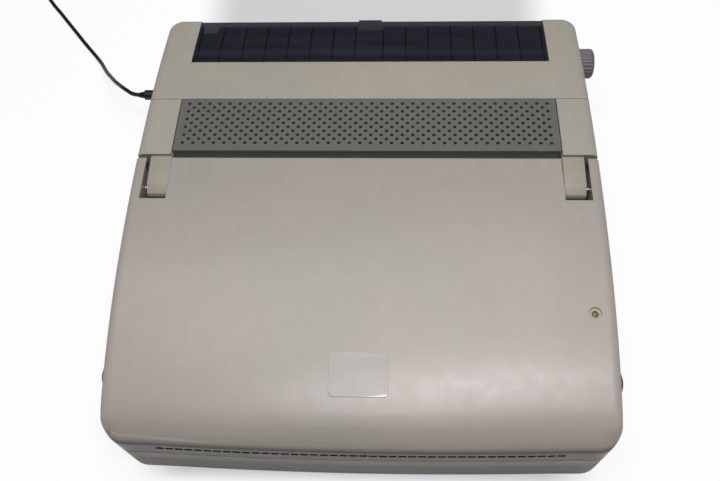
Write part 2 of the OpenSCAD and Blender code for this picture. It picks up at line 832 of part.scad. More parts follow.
module ribbon_cassette() {
    low = [-32, rod_y - 19];
    high = [32, rod_y + 7];
    r = 5;
    color([0.22, 0.22, 0.24]) seated() translate([home_x, 0, rod_z + 8]) {
        linear_extrude(11) difference() {
            union() {
                translate(low + [r, 0]) square(high - low - [2 * r, 0]);
                translate(low + [0, r]) square(high - low - [0, 2 * r]);
                for (x = [low[0] + r, high[0] - r], y = [low[1] + r, high[1] - r])
                    translate([x, y]) circle(r);
            }
            for (s = [-1, 1]) translate([s * 17, rod_y - 6]) circle(4);
        }
    }
}

module carriage_motor() {
    color([0.55, 0.55, 0.58]) seated() translate([pulley_x, belt_y - 28, pulley_z])
        rotate([-90, 0, 0]) {
            cylinder(h = 22, r = 9);
            cylinder(h = 28 + belt_w / 2 + 1, r = 1.5);
        }
}

module pulley(x, bore) {
    translate([x, belt_y, pulley_z]) rotate([-90, 0, 0]) difference() {
        union() {
            cylinder(h = belt_w + 0.4, r = pulley_r, center = true);
            for (s = [-1, 1]) translate([0, 0, s * (belt_w / 2 + 0.7)])
                cylinder(h = 1, r = pulley_r + 1.6, center = true);
        }
        cylinder(h = 3 * belt_w, r = bore, center = true);
    }
}

module drive_pulley() {
    color([0.80, 0.80, 0.78]) seated() pulley(pulley_x, 1.5 + run_fit);
}

module idler_pulley() {
    color([0.80, 0.80, 0.78]) seated() pulley(-pulley_x, 2 + run_fit);
}

module drive_belt() {
    inner = pulley_r + 0.05;
    color([0.08, 0.08, 0.08]) seated() translate([0, belt_y + belt_w / 2, pulley_z])
        rotate([90, 0, 0]) linear_extrude(belt_w) difference() {
            union() {
                square([2 * pulley_x, 2 * (inner + belt_t)], center = true);
                for (s = [-1, 1]) translate([s * pulley_x, 0]) circle(inner + belt_t);
            }
            square([2 * pulley_x, 2 * inner], center = true);
            for (s = [-1, 1]) translate([s * pulley_x, 0]) circle(inner);
        }
}

// Boards
module main_board() {
    color([0.12, 0.38, 0.22]) seated()
        block([board_left, board_front, board_z], [board_right, board_rear, board_z + board_t]);
}

module board_chips() {
    // place from the board's front left corner, and size
    chips = [[38, 35, 28, 28], [83, 35, 28, 28], [128, 45, 40, 15],
        [128, 75, 40, 15], [48, 95, 36, 13], [48, 120, 36, 13],
        [98, 105, 30, 30], [158, 125, 22, 30], [58, 175, 60, 10], [148, 185, 30, 14]];
    color([0.07, 0.07, 0.08]) seated()
        for (c = chips)
            translate([board_left + c[0], board_front + c[1], board_z + board_t])
                cube([c[2], c[3], 3.5]);
}

module power_board() {
    low = board_z + board_t;
    color([0.55, 0.42, 0.22]) seated() {
        block([supply_left, supply_front, board_z], [supply_right, supply_rear, low]);
        for (k = [0 : 4]) translate([supply_left + 20 + 24 * k, supply_rear - 16, low])
            cylinder(h = 20, r = 7);
        block([supply_right - 40, supply_front + 8, low],
            [supply_right - 6, supply_rear - 12, board_z + 30]);
    }
}

module heat_sink() {
    low = board_z + board_t;
    base_y = supply_front + 4;
    sink_h = 34;
    color([0.72, 0.73, 0.75]) seated() {
        block([supply_left + 10, base_y, low], [supply_left + 100, base_y + 3, low + sink_h]);
        for (k = [0 : 11])
            block([supply_left + 12 + 8 * k, base_y + 3 - eps, low],
                [supply_left + 13.6 + 8 * k, base_y + 20, low + sink_h]);
    }
}

module dc_jack() {
    color([0.09, 0.09, 0.10]) seated() translate([-inner_x, jack_y, jack_z])
        difference() {
            block([0, -7, -7], [14, 7, 7]);
            translate([-1, 0, 0]) rotate([0, 90, 0]) cylinder(h = 12, r = 4.5);
        }
}

module power_switch() {
    z = jack_z + 5;
    color([0.10, 0.10, 0.11]) seated() {
        block([-inner_x + 0.3, jack_y - 33.5, z - 4.5], [-inner_x + 2, jack_y - 17.5, z + 4.5]);
        block([-side_x - 1, jack_y - 31.4, z - 2.6], [-inner_x + 1, jack_y - 24.6, z + 2.6]);
    }
}

// Disk drive on the right side, under the keyboard
module floppy_drive() {
    button_y = drive_y - drive_w / 2 + 14;
    color([0.70, 0.71, 0.73]) seated() difference() {
        block([inner_x - drive_l, drive_y - drive_w / 2, drive_z],
            [inner_x - 0.4, drive_y + drive_w / 2, drive_z + drive_h]);
        block([inner_x - 98, drive_y - slot_w / 2, slot_z - slot_h / 2],
            [inner_x + 1, drive_y + slot_w / 2, slot_z + slot_h / 2]);
        block([inner_x - 10, button_y - 6.5, drive_z + 2.6],
            [inner_x + 1, button_y + 6.5, drive_z + 8.6]);
    }
}

module floppy_bezel() {
    button_y = drive_y - drive_w / 2 + 14;
    color([0.58, 0.56, 0.52]) seated() difference() {
        block([inner_x - 0.4, drive_y - drive_w / 2 - 0.4, floor_z],
            [side_x + 0.4, drive_y + drive_w / 2 + 0.4, floor_z + drive_h + 0.4]);
        block([inner_x - 2, drive_y - slot_w / 2, slot_z - slot_h / 2],
            [side_x + 2, drive_y + slot_w / 2, slot_z + slot_h / 2]);
        block([inner_x - 2, button_y - 6.1, drive_z + 3],
            [side_x + 2, button_y + 6.1, drive_z + 8.2]);
    }
}

module eject_button() {
    button_y = drive_y - drive_w / 2 + 14;
    color([0.50, 0.48, 0.44]) seated()
        block([inner_x - 6, button_y - 5.8, drive_z + 3.3],
            [side_x + 3.6, button_y + 5.8, drive_z + 7.9]);
}

// Keyboard
function row_y(row) = row < 5 ? first_row + row * key_pitch : function_row;
function row_d(row) = row < 5 ? key_pitch - key_gap : function_d;
function starts(list, k = 0, at = 0) = k >= len(list) ? []
    : concat([at], starts(list, k + 1, at + abs(list[k])));

// A key cap that narrows upwards.
module cap(w, d) {
    low = key_top - key_h;
    draw = [2.4, 1.9];
    x = w / 2;
    y = d / 2;
    polyhedron([[-x, -y, low], [x, -y, low], [x, y, low], [-x, y, low],
        [draw[0] - x, draw[1] - y, key_top], [x - draw[0], draw[1] - y, key_top],
        [x - draw[0], y - draw[1], key_top], [draw[0] - x, y - draw[1], key_top]],
        [[0, 1, 2, 3], [4, 7, 6, 5], [0, 4, 5, 1], [1, 5, 6, 2], [2, 6, 7, 3],
        [3, 7, 4, 0]]);
}

module stem() {
    translate([0, 0, plate_top - 1.8])
        cylinder(h = key_top - key_h - plate_top + 2.3, r = stem_r, $fn = 32);
}

module key_row(row) {
    widths = key_rows[row];
    from = starts(widths);
    on_deck() for (k = [0 : len(widths) - 1]) if (widths[k] > 0)
        translate([(from[k] + widths[k] / 2 - row_units / 2) * key_pitch, row_y(row), 0]) {
            cap(widths[k] * key_pitch - key_gap, row_d(row));
            stem();
        }
}

module bottom_keys() {
    color([0.72, 0.70, 0.66]) seated() key_row(0);
}

module lower_keys() {
    color([0.78, 0.77, 0.73]) seated() key_row(1);
}

module home_keys() {
    color([0.78, 0.77, 0.73]) seated() key_row(2);
}

module upper_keys() {
    color([0.78, 0.77, 0.73]) seated() key_row(3);
}

module number_keys() {
    color([0.78, 0.77, 0.73]) seated() key_row(4);
}

module function_keys() {
    color([0.55, 0.55, 0.54]) seated() key_row(5);
}

space_x = (space_start + space_units / 2 - row_units / 2) * key_pitch;

module space_bar() {
    color([0.78, 0.77, 0.73]) seated() on_deck() translate([space_x, row_y(0), 0]) {
        cap(space_units * key_pitch - key_gap, row_d(0));
        for (s = [-1, 1]) translate([s * 28, 0, 0]) stem();
    }
}

// Steel plate with a guide hole for each stem
module key_plate() {
    color([0.62, 0.63, 0.65]) seated() on_deck() translate([0, 0, plate_top - 1.5])
        linear_extrude(1.5) difference() {
            translate([-keys_half - 4, keys_from - 9])
                square([2 * keys_half + 8, keys_to - keys_from + 18]);
            for (row = [0 : len(key_rows) - 1]) {
                widths = key_rows[row];
                from = starts(widths);
                for (k = [0 : len(widths) - 1]) if (widths[k] > 0)
                    translate([(from[k] + widths[k] / 2 - row_units / 2) * key_pitch,
                        row_y(row)]) circle(stem_r + run_fit, $fn = 32);
            }
            for (s = [-1, 1]) translate([space_x + s * 28, row_y(0)])
                circle(stem_r + run_fit, $fn = 32);
        }
}

module key_board() {
    gap = key_travel + 1;
    color([0.14, 0.30, 0.20]) seated() on_deck() translate([0, 0, plate_top - 1.5]) {
        translate([0, 0, -gap - 1.6]) linear_extrude(1.6)
            translate([-keys_half - 4, keys_from - 9])
                square([2 * keys_half + 8, keys_to - keys_from + 18]);
        for (x = [-1, 1], y = [keys_from - 5, keys_to + 5])
            translate([x * (keys_half - 1), y, -gap]) cylinder(h = gap, r = 3);
    }
}

// Lid
// Lid from the side, drawn in by inset: the arch, the front slope and the
// slanted front edge, cut off by the joint line and by the barrel at the rear.
// The hollow is open downwards as far back as open_to.
module lid_side_2d(inset, open_to = 0) {
    rim_back = 0.4;
    foot = [hinge_y + barrel_r * sin(lid_tilt), hinge_z - barrel_r * cos(lid_tilt)];
    function joint(y) = [y, foot[1] - (foot[0] - y) * tan(lid_tilt)];
    lift = [-sin(lid_tilt), cos(lid_tilt)] * inset;
    bend_z = crease_z - inset / 2;
    bend = [nose_centre[0] - sqrt(pow(nose_r - inset, 2) - pow(bend_z - nose_centre[1], 2)),
        bend_z];
    rim = joint(front_y + inset + rim_back);
    low = rim + (rim - bend) * 0.5;
    high = bend + (bend - rim);
    drop = inset > 0 ? lift * 0.5 : [0, 0];
    intersection() {
        union() {
            intersection() {
                arch_2d(inset);
                translate([slope_y, low[1]]) square([far, far]);
            }
            intersection() {
                translate(nose_centre) circle(nose_r - inset, $fn = fine);
                polygon([low, [slope_y + 2, low[1]], [slope_y + 2, bend_z],
                    [slope_y, bend_z], [slope_y, high[1]], high]);
            }
        }
        union() {
            polygon(concat([joint(front_y - 20) - drop],
                inset > 0 ? [joint(open_to) - drop, joint(open_to) + lift, foot + lift] : [foot],
                [[foot[0], far], [front_y - 20, far]]));
            translate([hinge_y, hinge_z]) circle(barrel_r - inset, $fn = fine);
        }
    }
}

// The two notches that the arms lie in, made larger by grow all round
module notches(grow) {
    half = (notch_out - notch_in) / 2 + grow;
    for (x = [-1, 1] * (notch_in + notch_out) / 2)
        block([x - half, notch_front_y - grow, 0],
            [x + half, lid_rear_y + 20, crown_z + 10]);
}

module lid_shell() {
    bezel_edge = front_y + bezel_end * cos(lid_tilt);
    color([0.66, 0.64, 0.61]) seated() difference() {
        intersection() {
            along_x(body_w + 2) lid_side_2d(0);
            plan(0, 0, crown_z + 1);
        }
        difference() {
            intersection() {
                along_x(2 * inner_x) lid_side_2d(wall, bezel_edge);
                plan(wall, 0, crown_z + 1);
            }
            notches(cheek);
            // seat round the lamp
            translate([lamp[0], lamp[1], arch_z(lamp[1]) - 8]) cylinder(h = 20, r = 6.5);
        }
        notches(0);
        translate([0, hinge_y, hinge_z]) rotate([0, 90, 0])
            cylinder(h = body_w - 8, r = pin_r, center = true);
        translate([lamp[0], lamp[1], 0]) {
            cylinder(h = crown_z + 5, r = 2.6);
            translate([0, 0, arch_z(lamp[1]) - 1.2]) cylinder(h = 10, r = 5);
        }
        for (s = [-1, 1])
            block([s * (side_x - 2) - 8, latch_y - 10, latch_z - 4.5],
                [s * (side_x - 2) + 8, latch_y + 10, latch_z + 4.5]);
    }
}

module lid_hinge_pins() {
    color([0.75, 0.75, 0.77]) seated() for (s = [-1, 1])
        translate([s * (notch_in - cheek + 0.4), hinge_y, hinge_z]) rotate([0, s * 90, 0])
            cylinder(h = notch_out - notch_in + 2 * cheek - 1, r = pin_r);
}

// Inner cover of the lid with the screen's window
module lid_bezel() {
    color([0.60, 0.59, 0.56]) seated() difference() {
        intersection() {
            on_lid() block([-inner_x, wall + 1.8, bezel_rise],
                [inner_x, bezel_end - 0.5, bezel_rise + bezel_t]);
            plan(wall + 0.3, 0, crown_z);
        }
        on_lid() translate([0, screen_y, 0]) block([-screen_w / 2, -screen_h / 2, 0],
            [screen_w / 2, screen_h / 2, 40]);
    }
}

module lcd_panel() {
    frame = 6;
    color([0.34, 0.40, 0.36]) seated() on_lid()
        translate([0, screen_y, bezel_rise + bezel_t]) difference() {
            block([-screen_w / 2 - frame, -screen_h / 2 - frame, 0],
                [screen_w / 2 + frame, screen_h / 2 + frame, 5]);
            block([-screen_w / 2 + 1, -screen_h / 2 + 1, -1],
                [screen_w / 2 - 1, screen_h / 2 - 1, 0.8]);
        }
}

module lcd_backlight() {
    low = bezel_rise + bezel_t + 5;
    color([0.92, 0.92, 0.90]) seated() on_lid() translate([0, screen_y, low]) {
        block([-screen_w / 2, -screen_h / 2 + 8, 0], [screen_w / 2, screen_h / 2, 4]);
        translate([-screen_w / 2, -screen_h / 2 + 3, 3]) rotate([0, 90, 0])
            cylinder(h = screen_w, r = 3);
    }
}

module power_lamp() {
    top = arch_z(lamp[1]) - 0.7;
    color([0.35, 0.62, 0.25]) seated() translate([lamp[0], lamp[1], top - 9]) {
        cylinder(h = 7.5, r = 2.6);
        translate([0, 0, 6.5]) intersection() {
            cylinder(h = 4, r = 2.6);
            translate([0, 0, -1]) sphere(4.2);
        }
    }
}

// Bare plate on the lid
module name_plate() {
    r = 4;
    color([0.68, 0.70, 0.68]) seated() intersection() {
        along_x(badge_size[0] + 2)
            band_2d(badge[1] - badge_size[1], badge[1] + badge_size[1], 0.5, 0.5);
        translate([badge[0], badge[1], 0]) linear_extrude(crown_z + 5) {
            square([badge_size[0], badge_size[1] - 2 * r], center = true);
            square([badge_size[0] - 2 * r, badge_size[1]], center = true);
            for (x = [-1, 1], y = [-1, 1])
                translate([x * (badge_size[0] / 2 - r), y * (badge_size[1] / 2 - r)])
                    circle(r);
        }
    }
}

// Latch button: a low curved pad, and a flange that keeps it in the lid
module latch(s) {
    bulge_r = 13;
    mirror([s < 0 ? 1 : 0, 0, 0]) translate([0, latch_y, latch_z]) {
        intersection() {
            translate([side_x + latch_reach - bulge_r, 0, 0])
                cylinder(h = 8.4, r = bulge_r, center = true);
            block([inner_x - 1, -9.7, -4.2], [side_x + latch_reach + 1, 9.7, 4.2]);
        }
        block([inner_x - 2.3, -11, -5.8], [inner_x - 0.3, 11, 5.8]);
    }
}

module latch_left() {
    color([0.40, 0.40, 0.41]) seated() latch(-1);
}

module latch_right() {
    color([0.40, 0.40, 0.41]) seated() latch(1);
}

// Plug in the socket, with a tapered strain relief
module dc_plug() {
    color([0.06, 0.06, 0.06]) seated() translate([-side_x, jack_y, jack_z])
        rotate([0, -90, 0]) {
            translate([0, 0, -9]) cylinder(h = 10, r = 4.3);
            cylinder(h = plug_l, r = 4.8);
            translate([0, 0, plug_l]) cylinder(h = relief_l, r1 = 3.6, r2 = lead_d / 2 + 0.4);
        }
}

// A tube swept along points. Each ring stands square to the mean direction
// of its two neighbours.
function unit(v) = v / norm(v);
function heading(p, k) = unit(p[min(k + 1, len(p) - 1)] - p[max(k - 1, 0)]);
function ring(p, k, r, n) = let (t = heading(p, k), s = unit(cross([0, 0, 1], t)),
    u = cross(t, s)) [for (j = [0 : n - 1])
        p[k] + r * cos(360 * j / n + 180 / n) * s + r * sin(360 * j / n + 180 / n) * u];

module tube(p, r, n) {
    last = len(p) - 1;
    points = [for (k = [0 : last]) each ring(p, k, r, n)];
    sides = [for (k = [0 : last - 1], j = [0 : n - 1]) let (a = k * n + j,
        b = k * n + (j + 1) % n) each [[a, b, b + n], [a, b + n, a + n]]];
    caps = [for (j = [1 : n - 2]) each [[0, j + 1, j],
        [last * n, last * n + j, last * n + j + 1]]];
    polyhedron(points, concat(sides, caps));
}

module dc_lead() {
    color([0.06, 0.06, 0.06])
        tube([for (p = lead_route) lead_start + p], lead_d / 2, 8);
}

// Coil: the turns spiral in and out again, and climb a layer in the half
// turn where the spiral reverses.
coil_total = coil_turns * coil_layers;
coil_in_r = coil_out_r - coil_step * (coil_turns - 1) - 0.75 * coil_step;
function zigzag(t) = let (m = t % (2 * coil_turns)) m < coil_turns ? m : 2 * coil_turns - m;
function coil_radius(t) = coil_out_r
    - (coil_out_r - coil_in_r) * zigzag(t) / coil_turns;
function ease(x) = x <= 0 ? 0 : x >= 1 ? 1 : x * x * (3 - 2 * x);
function coil_height(t) = coil_step * (ease(2 * (t - coil_turns) + 0.5)
    + ease(2 * (t - 2 * coil_turns) + 0.5) + ease(2 * (t - 3 * coil_turns) + 0.5));
function coil_point(t) = coil_centre + [-coil_radius(t) * cos(360 * t),
    coil_radius(t) * sin(360 * t), coil_height(t)];
coil_last = coil_total - 0.75;
coil_path = [for (k = [0 : coil_last * coil_rings]) coil_point(k / coil_rings)];
coil_end = coil_path[len(coil_path) - 1];
tail = coil_out_r + lead_d;
coil_full = concat([coil_start], coil_path,
    [for (k = [0.12, 0.4, 0.7, 1]) coil_end + [k * tail, 0, 0]]);
function far_apart(a, b) = abs(a - b) > coil_rings / 2;
coil_least = min([for (a = [0 : len(coil_full) - 1], b = [a : len(coil_full) - 1])
    if (far_apart(a, b)) norm(coil_full[a] - coil_full[b])]) - lead_d;
echo(coil_gap = coil_least);

module dc_coil() {
    color([0.06, 0.06, 0.06]) tube(coil_full, lead_d / 2, coil_sides);
}

// Wall adapter: a rounded box with two flat blades, beside the coil
adapter_size = [66, 52, 36];

module mains_adapter() {
    r = 6;
    blade = [17, 1.5, 6.3];
    low = [coil_end[0] + tail, coil_end[1] - adapter_size[1] / 2, 0];
    color([0.08, 0.08, 0.09]) {
        translate(low) linear_extrude(adapter_size[2]) {
            translate([r, 0]) square([adapter_size[0] - 2 * r, adapter_size[1]]);
            translate([0, r]) square([adapter_size[0], adapter_size[1] - 2 * r]);
            for (x = [r, adapter_size[0] - r], y = [r, adapter_size[1] - r])
                translate([x, y]) circle(r);
        }
        for (s = [-1, 1])
            translate(low + [adapter_size[0] - 1, adapter_size[1] / 2 + s * 6.35 - blade[1] / 2,
                adapter_size[2] / 2 - blade[2] / 2]) cube(blade + [1, 0, 0]);
    }
}

lower_case();
rubber_feet();
case_screws();
keyboard_deck();
side_panel_left();
side_panel_right();
hinge_arm_left();
hinge_arm_right();
vent_grille();
rear_cover();
paper_cover();
platen_roller();
platen_shaft();
platen_gear();
platen_knob();
feed_motor();
feed_pinion();
pinch_rollers();
paper_pan();
printer_frame();
guide_rod();
guide_rail();
carriage();
print_head();
ribbon_cassette();
carriage_motor();
drive_pulley();
idler_pulley();
drive_belt();
main_board();
board_chips();
power_board();
heat_sink();
dc_jack();
power_switch();
floppy_drive();
floppy_bezel();
eject_button();
key_plate();
key_board();
function_keys();
number_keys();
upper_keys();
home_keys();
lower_keys();
bottom_keys();
space_bar();
lid_shell();
lid_bezel();
lid_hinge_pins();
power_lamp();
name_plate();
lcd_panel();
lcd_backlight();
latch_left();
latch_right();
dc_plug();
dc_lead();
dc_coil();
mains_adapter();
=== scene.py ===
import bpy
import bmesh
import json
import math
from mathutils import Matrix, Vector

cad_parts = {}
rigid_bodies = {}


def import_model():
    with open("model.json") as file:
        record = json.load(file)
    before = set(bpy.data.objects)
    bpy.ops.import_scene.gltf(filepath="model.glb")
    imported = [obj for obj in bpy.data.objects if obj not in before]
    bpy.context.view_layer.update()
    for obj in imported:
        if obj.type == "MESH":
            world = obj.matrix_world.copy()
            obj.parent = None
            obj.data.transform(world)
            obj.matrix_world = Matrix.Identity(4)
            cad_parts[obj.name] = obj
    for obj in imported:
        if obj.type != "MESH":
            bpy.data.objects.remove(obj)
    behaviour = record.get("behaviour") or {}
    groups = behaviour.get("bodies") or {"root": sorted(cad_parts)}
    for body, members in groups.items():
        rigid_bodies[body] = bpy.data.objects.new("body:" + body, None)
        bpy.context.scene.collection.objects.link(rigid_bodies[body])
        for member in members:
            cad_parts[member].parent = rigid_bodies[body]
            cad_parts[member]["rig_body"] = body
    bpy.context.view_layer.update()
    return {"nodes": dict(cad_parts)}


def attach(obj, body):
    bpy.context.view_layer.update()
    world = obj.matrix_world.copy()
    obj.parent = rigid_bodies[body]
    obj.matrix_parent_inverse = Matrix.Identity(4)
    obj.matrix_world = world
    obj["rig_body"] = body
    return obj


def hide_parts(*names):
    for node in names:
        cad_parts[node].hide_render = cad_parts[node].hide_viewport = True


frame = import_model()
nodes = frame["nodes"]
MM = 0.001

# Main dimensions in mm, measured from the middle of the case and the table
SHIFT = -7.75
SIDE = 195.0
FRONT = -209.0
REAR = 209.0
CROWN_Y, CROWN_Z = -57.0, 108.0
FRONT_ARCH_R, REAR_ARCH_R = 520.0, 1000.0
WALL = 2.8
LID_GAP = 0.4
REAR_CORNER = 13.0
SEAM_Z, CREASE_Z = 49.0, 73.5
SLOPE_Y, NOSE_R = -181.0, 44.0
HINGE_Y, HINGE_Z = 9.0, 92.5
LID_REAR = 32.0
BOW, BOW_HALF = 3.5, 165.0


def arch(y):
    r = FRONT_ARCH_R if y < CROWN_Y else REAR_ARCH_R
    return CROWN_Z - r + math.sqrt(r * r - (y - CROWN_Y) ** 2)


LEAN = (SLOPE_Y - CROWN_Y) / FRONT_ARCH_R
NOSE_Y = SLOPE_Y - NOSE_R * LEAN
NOSE_Z = arch(SLOPE_Y) - NOSE_R * math.sqrt(1 - LEAN * LEAN)
CREASE_Y = NOSE_Y - math.sqrt(NOSE_R ** 2 - (CREASE_Z - NOSE_Z) ** 2)
BARREL_R = math.hypot(LID_REAR - HINGE_Y, arch(LID_REAR) - HINGE_Z)
HINGE_REACH = math.hypot(HINGE_Y - FRONT, HINGE_Z - SEAM_Z - LID_GAP)
LID_TILT = (math.atan2(HINGE_Z - SEAM_Z - LID_GAP, HINGE_Y - FRONT)
            - math.asin(BARREL_R / HINGE_REACH))
FOOT = (HINGE_Y + BARREL_R * math.sin(LID_TILT), HINGE_Z - BARREL_R * math.cos(LID_TILT))


def top(y):
    if y < SLOPE_Y:
        return NOSE_Z + math.sqrt(max(NOSE_R ** 2 - (y - NOSE_Y) ** 2, 0.0))
    return arch(y)


def joint(y):
    return FOOT[1] - (FOOT[0] - y) * math.tan(LID_TILT)


def ease(t):
    t = min(max(t, 0.0), 1.0)
    return t * t * (3 - 2 * t)


def mix(a, b, t):
    return a + (b - a) * t


# Camera, fitted to the photograph: degrees, mm, and the focal length in pixels
CAMERA_ANGLES = (63.48, -6.32, -5.24)
CAMERA_PLACE = (31.8, -347.1, 712.4)
FOCAL_PX, PHOTO_WIDTH_PX = 848.8, 720.0
SENSOR = 36.0


def place_camera():
    el, yaw, roll = (math.radians(a) for a in CAMERA_ANGLES)
    fwd = Vector((math.sin(yaw) * math.cos(el), math.cos(yaw) * math.cos(el), -math.sin(el)))
    right = Vector((math.cos(yaw), -math.sin(yaw), 0))
    up = right.cross(fwd)
    r2 = right * math.cos(roll) + up * math.sin(roll)
    u2 = up * math.cos(roll) - right * math.sin(roll)
    data = bpy.data.cameras.new("photo_camera")
    data.sensor_width = SENSOR
    data.sensor_fit = "HORIZONTAL"
    data.lens = FOCAL_PX * SENSOR / PHOTO_WIDTH_PX
    data.clip_start = 0.01
    data.clip_end = 20.0
    cam = bpy.data.objects.new("photo_camera", data)
    bpy.context.scene.collection.objects.link(cam)
    m = Matrix((r2, u2, -fwd)).transposed().to_4x4()
    m.translation = Vector((CAMERA_PLACE[0] + SHIFT, *CAMERA_PLACE[1:])) * MM
    cam.matrix_world = m
    bpy.context.scene.camera = cam


place_camera()
bpy.context.scene.view_settings.view_transform = "Standard"

# Lead: route in mm from the end of the plug's strain relief
LEAD_D = 4.0
FLOOR = LEAD_D / 2 + 0.05 - 48.0
lead_start = (-230.75, 138.0, 48.0)
lead_route = [
    (0, 0, 0), (-7, 1.5, 0), (-13, 6, -1.5), (-19, 11.5, -4), (-25, 18, -8),
    (-32, 26, -13), (-39, 35.5, -19.5), (-47, 46.5, -27), (-54, 57.5, -34),
    (-61, 69, -40), (-68.5, 79.5, -44), (-77, 90, FLOOR), (-86, 100.5, FLOOR),
    (-95, 111.5, FLOOR), (-104, 122.5, FLOOR), (-113, 133.5, FLOOR), (-122, 144.5, FLOOR),
    (-131, 155, FLOOR), (-139, 166, FLOOR), (-146, 178, FLOOR), (-150, 191, FLOOR),
    (-151, 205, FLOOR), (-151, 212, FLOOR)]
COIL_STEP, COIL_OUT, COIL_TURNS, COIL_LAYERS = 5.0, 28.5, 3, 4
COIL_IN = 14.75


def coil_point(t):
    period = 2.0 * COIL_TURNS
    z = t % period
    z = z if z <= COIL_TURNS else period - z
    r = COIL_OUT - (COIL_OUT - COIL_IN) * z / COIL_TURNS
    h = COIL_STEP * sum(ease(2 * (t - COIL_TURNS * k) + 0.5) for k in range(1, COIL_LAYERS))
    a = 2 * math.pi * t
    return (-r * math.cos(a), r * math.sin(a), h)


def link(obj):
    bpy.context.scene.collection.objects.link(obj)
    return obj


def tube_mesh(name, points, radius):
    data = bpy.data.curves.new(name, "CURVE")
    data.dimensions = "3D"
    data.bevel_depth = radius
    data.bevel_resolution = 4
    data.use_fill_caps = True
    line = data.splines.new("POLY")
    line.points.add(len(points) - 1)
    for p, q in zip(line.points, points):
        p.co = (q[0], q[1], q[2], 1.0)
    guide = bpy.data.objects.new(name, data)
    mesh = bpy.data.meshes.new_from_object(guide)
    bpy.data.objects.remove(guide)
    bpy.data.curves.remove(data)
    mesh.polygons.foreach_set("use_smooth", [True] * len(mesh.polygons))
    return link(bpy.data.objects.new(name, mesh))


def smooth_path(points, steps):
    out = []
    for k in range(len(points) - 1):
        p0 = points[max(k - 1, 0)]
        p1, p2 = points[k], points[k + 1]
        p3 = points[min(k + 2, len(points) - 1)]
        for j in range(steps):
            t = j / steps
            out.append(tuple(
                0.5 * (2 * b + (c - a) * t + (2 * a - 5 * b + 4 * c - d) * t * t
                       + (3 * b - a - 3 * c + d) * t ** 3)
                for a, b, c, d in zip(p0, p1, p2, p3)))
    out.append(tuple(points[-1]))
    return out


def add(a, b):
    return tuple(x + y for x, y in zip(a, b))


free = smooth_path([add(lead_start, p) for p in lead_route], 3)
coil_centre = add(free[-1], (COIL_OUT, LEAD_D, 0))
turns = COIL_TURNS * COIL_LAYERS - 0.75
wound = [add(coil_centre, coil_point(k / 60.0)) for k in range(int(turns * 60) + 1)]
tail = COIL_OUT + LEAD_D
ends = [add(wound[-1], (k * tail, 0, 0)) for k in (0.12, 0.4, 0.7, 1.0)]
rest_z = LEAD_D / 2 + 0.05
lead_points = [(x * MM, y * MM, max(z, rest_z) * MM) for x, y, z in free + wound + ends]
lead = tube_mesh("lead", lead_points, LEAD_D / 2 * MM)
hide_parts("dc_lead", "dc_coil")
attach(lead, "base")


# Mesh helpers, in mm
def to_object(name, bm, body, replaced=()):
    for v in bm.verts:
        v.co = Vector(((v.co.x + SHIFT) * MM, v.co.y * MM, v.co.z * MM))
    mesh = bpy.data.meshes.new(name)
    bm.to_mesh(mesh)
    bm.free()
    old = mesh.attributes.get("custom_normal")
    if old:
        mesh.attributes.remove(old)
    obj = link(bpy.data.objects.new(name, mesh))
    if replaced:
        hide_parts(*replaced)
    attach(obj, body)
    return obj


def grid_faces(bm, rows):
    """rows: lists of vertices of the same length"""
    for a, b in zip(rows, rows[1:]):
        for i in range(len(a) - 1):
            quad = []
            for v in (a[i], a[i + 1], b[i + 1], b[i]):
                if v not in quad:
                    quad.append(v)
            if len(quad) > 2:
                try:
                    bm.faces.new(quad)
                except ValueError:
                    pass


def box_into(bm, low, high):
    lo = [min(a, b) for a, b in zip(low, high)]
    hi = [max(a, b) for a, b in zip(low, high)]
    v = [bm.verts.new((x, y, z)) for x in (lo[0], hi[0]) for y in (lo[1], hi[1])
         for z in (lo[2], hi[2])]
    for f in ((0, 1, 3, 2), (4, 6, 7, 5), (0, 4, 5, 1), (2, 3, 7, 6), (0, 2, 6, 4),
              (1, 5, 7, 3)):
        bm.faces.new([v[i] for i in f])


def prism_into(bm, outline, x0, x1):
    """A closed outline in Y and Z, drawn along X"""
    rings = [[bm.verts.new((x, p[0], p[1])) for p in outline] for x in (x0, x1)]
    n = len(outline)
    for i in range(n):
        j = (i + 1) % n
        bm.faces.new((rings[0][i], rings[0][j], rings[1][j], rings[1][i]))
    bm.faces.new(rings[0][::-1])
    bm.faces.new(rings[1])


def cylinder_into(bm, centre, axis, r, h, n=48):
    """centre is the middle; axis is 0, 1 or 2"""
    others = [k for k in range(3) if k != axis]
    rings = []
    for s in (-0.5, 0.5):
        ring = []
        for k in range(n):
            a = 2 * math.pi * k / n
            p = list(centre)
            p[axis] += s * h
            p[others[0]] += r * math.cos(a)
            p[others[1]] += r * math.sin(a)
            ring.append(bm.verts.new(p))
        rings.append(ring)
    for k in range(n):
        j = (k + 1) % n
        bm.faces.new((rings[0][k], rings[0][j], rings[1][j], rings[1][k]))
    bm.faces.new(rings[0][::-1])
    bm.faces.new(rings[1])


def close_up(bm):
    bmesh.ops.remove_doubles(bm, verts=bm.verts, dist=1e-4)
    bmesh.ops.recalc_face_normals(bm, faces=bm.faces)
    return bm


def temp_object(bm, name="cutter"):
    mesh = bpy.data.meshes.new(name)
    close_up(bm).to_mesh(mesh)
    bm.free()
    return link(bpy.data.objects.new(name, mesh))


def boolean(obj, tool_bm, operation):
    """Cuts a tool's mesh from a temporary object, or joins it, in mm"""
    tool = temp_object(tool_bm)
    mod = obj.modifiers.new("cut", "BOOLEAN")
    mod.operation = operation
    mod.solver = "EXACT"
    mod.object = tool
    if operation == "UNION":
        mod.use_self = True
    bake(obj)
    mesh = tool.data
    bpy.data.objects.remove(tool)
    bpy.data.meshes.remove(mesh)


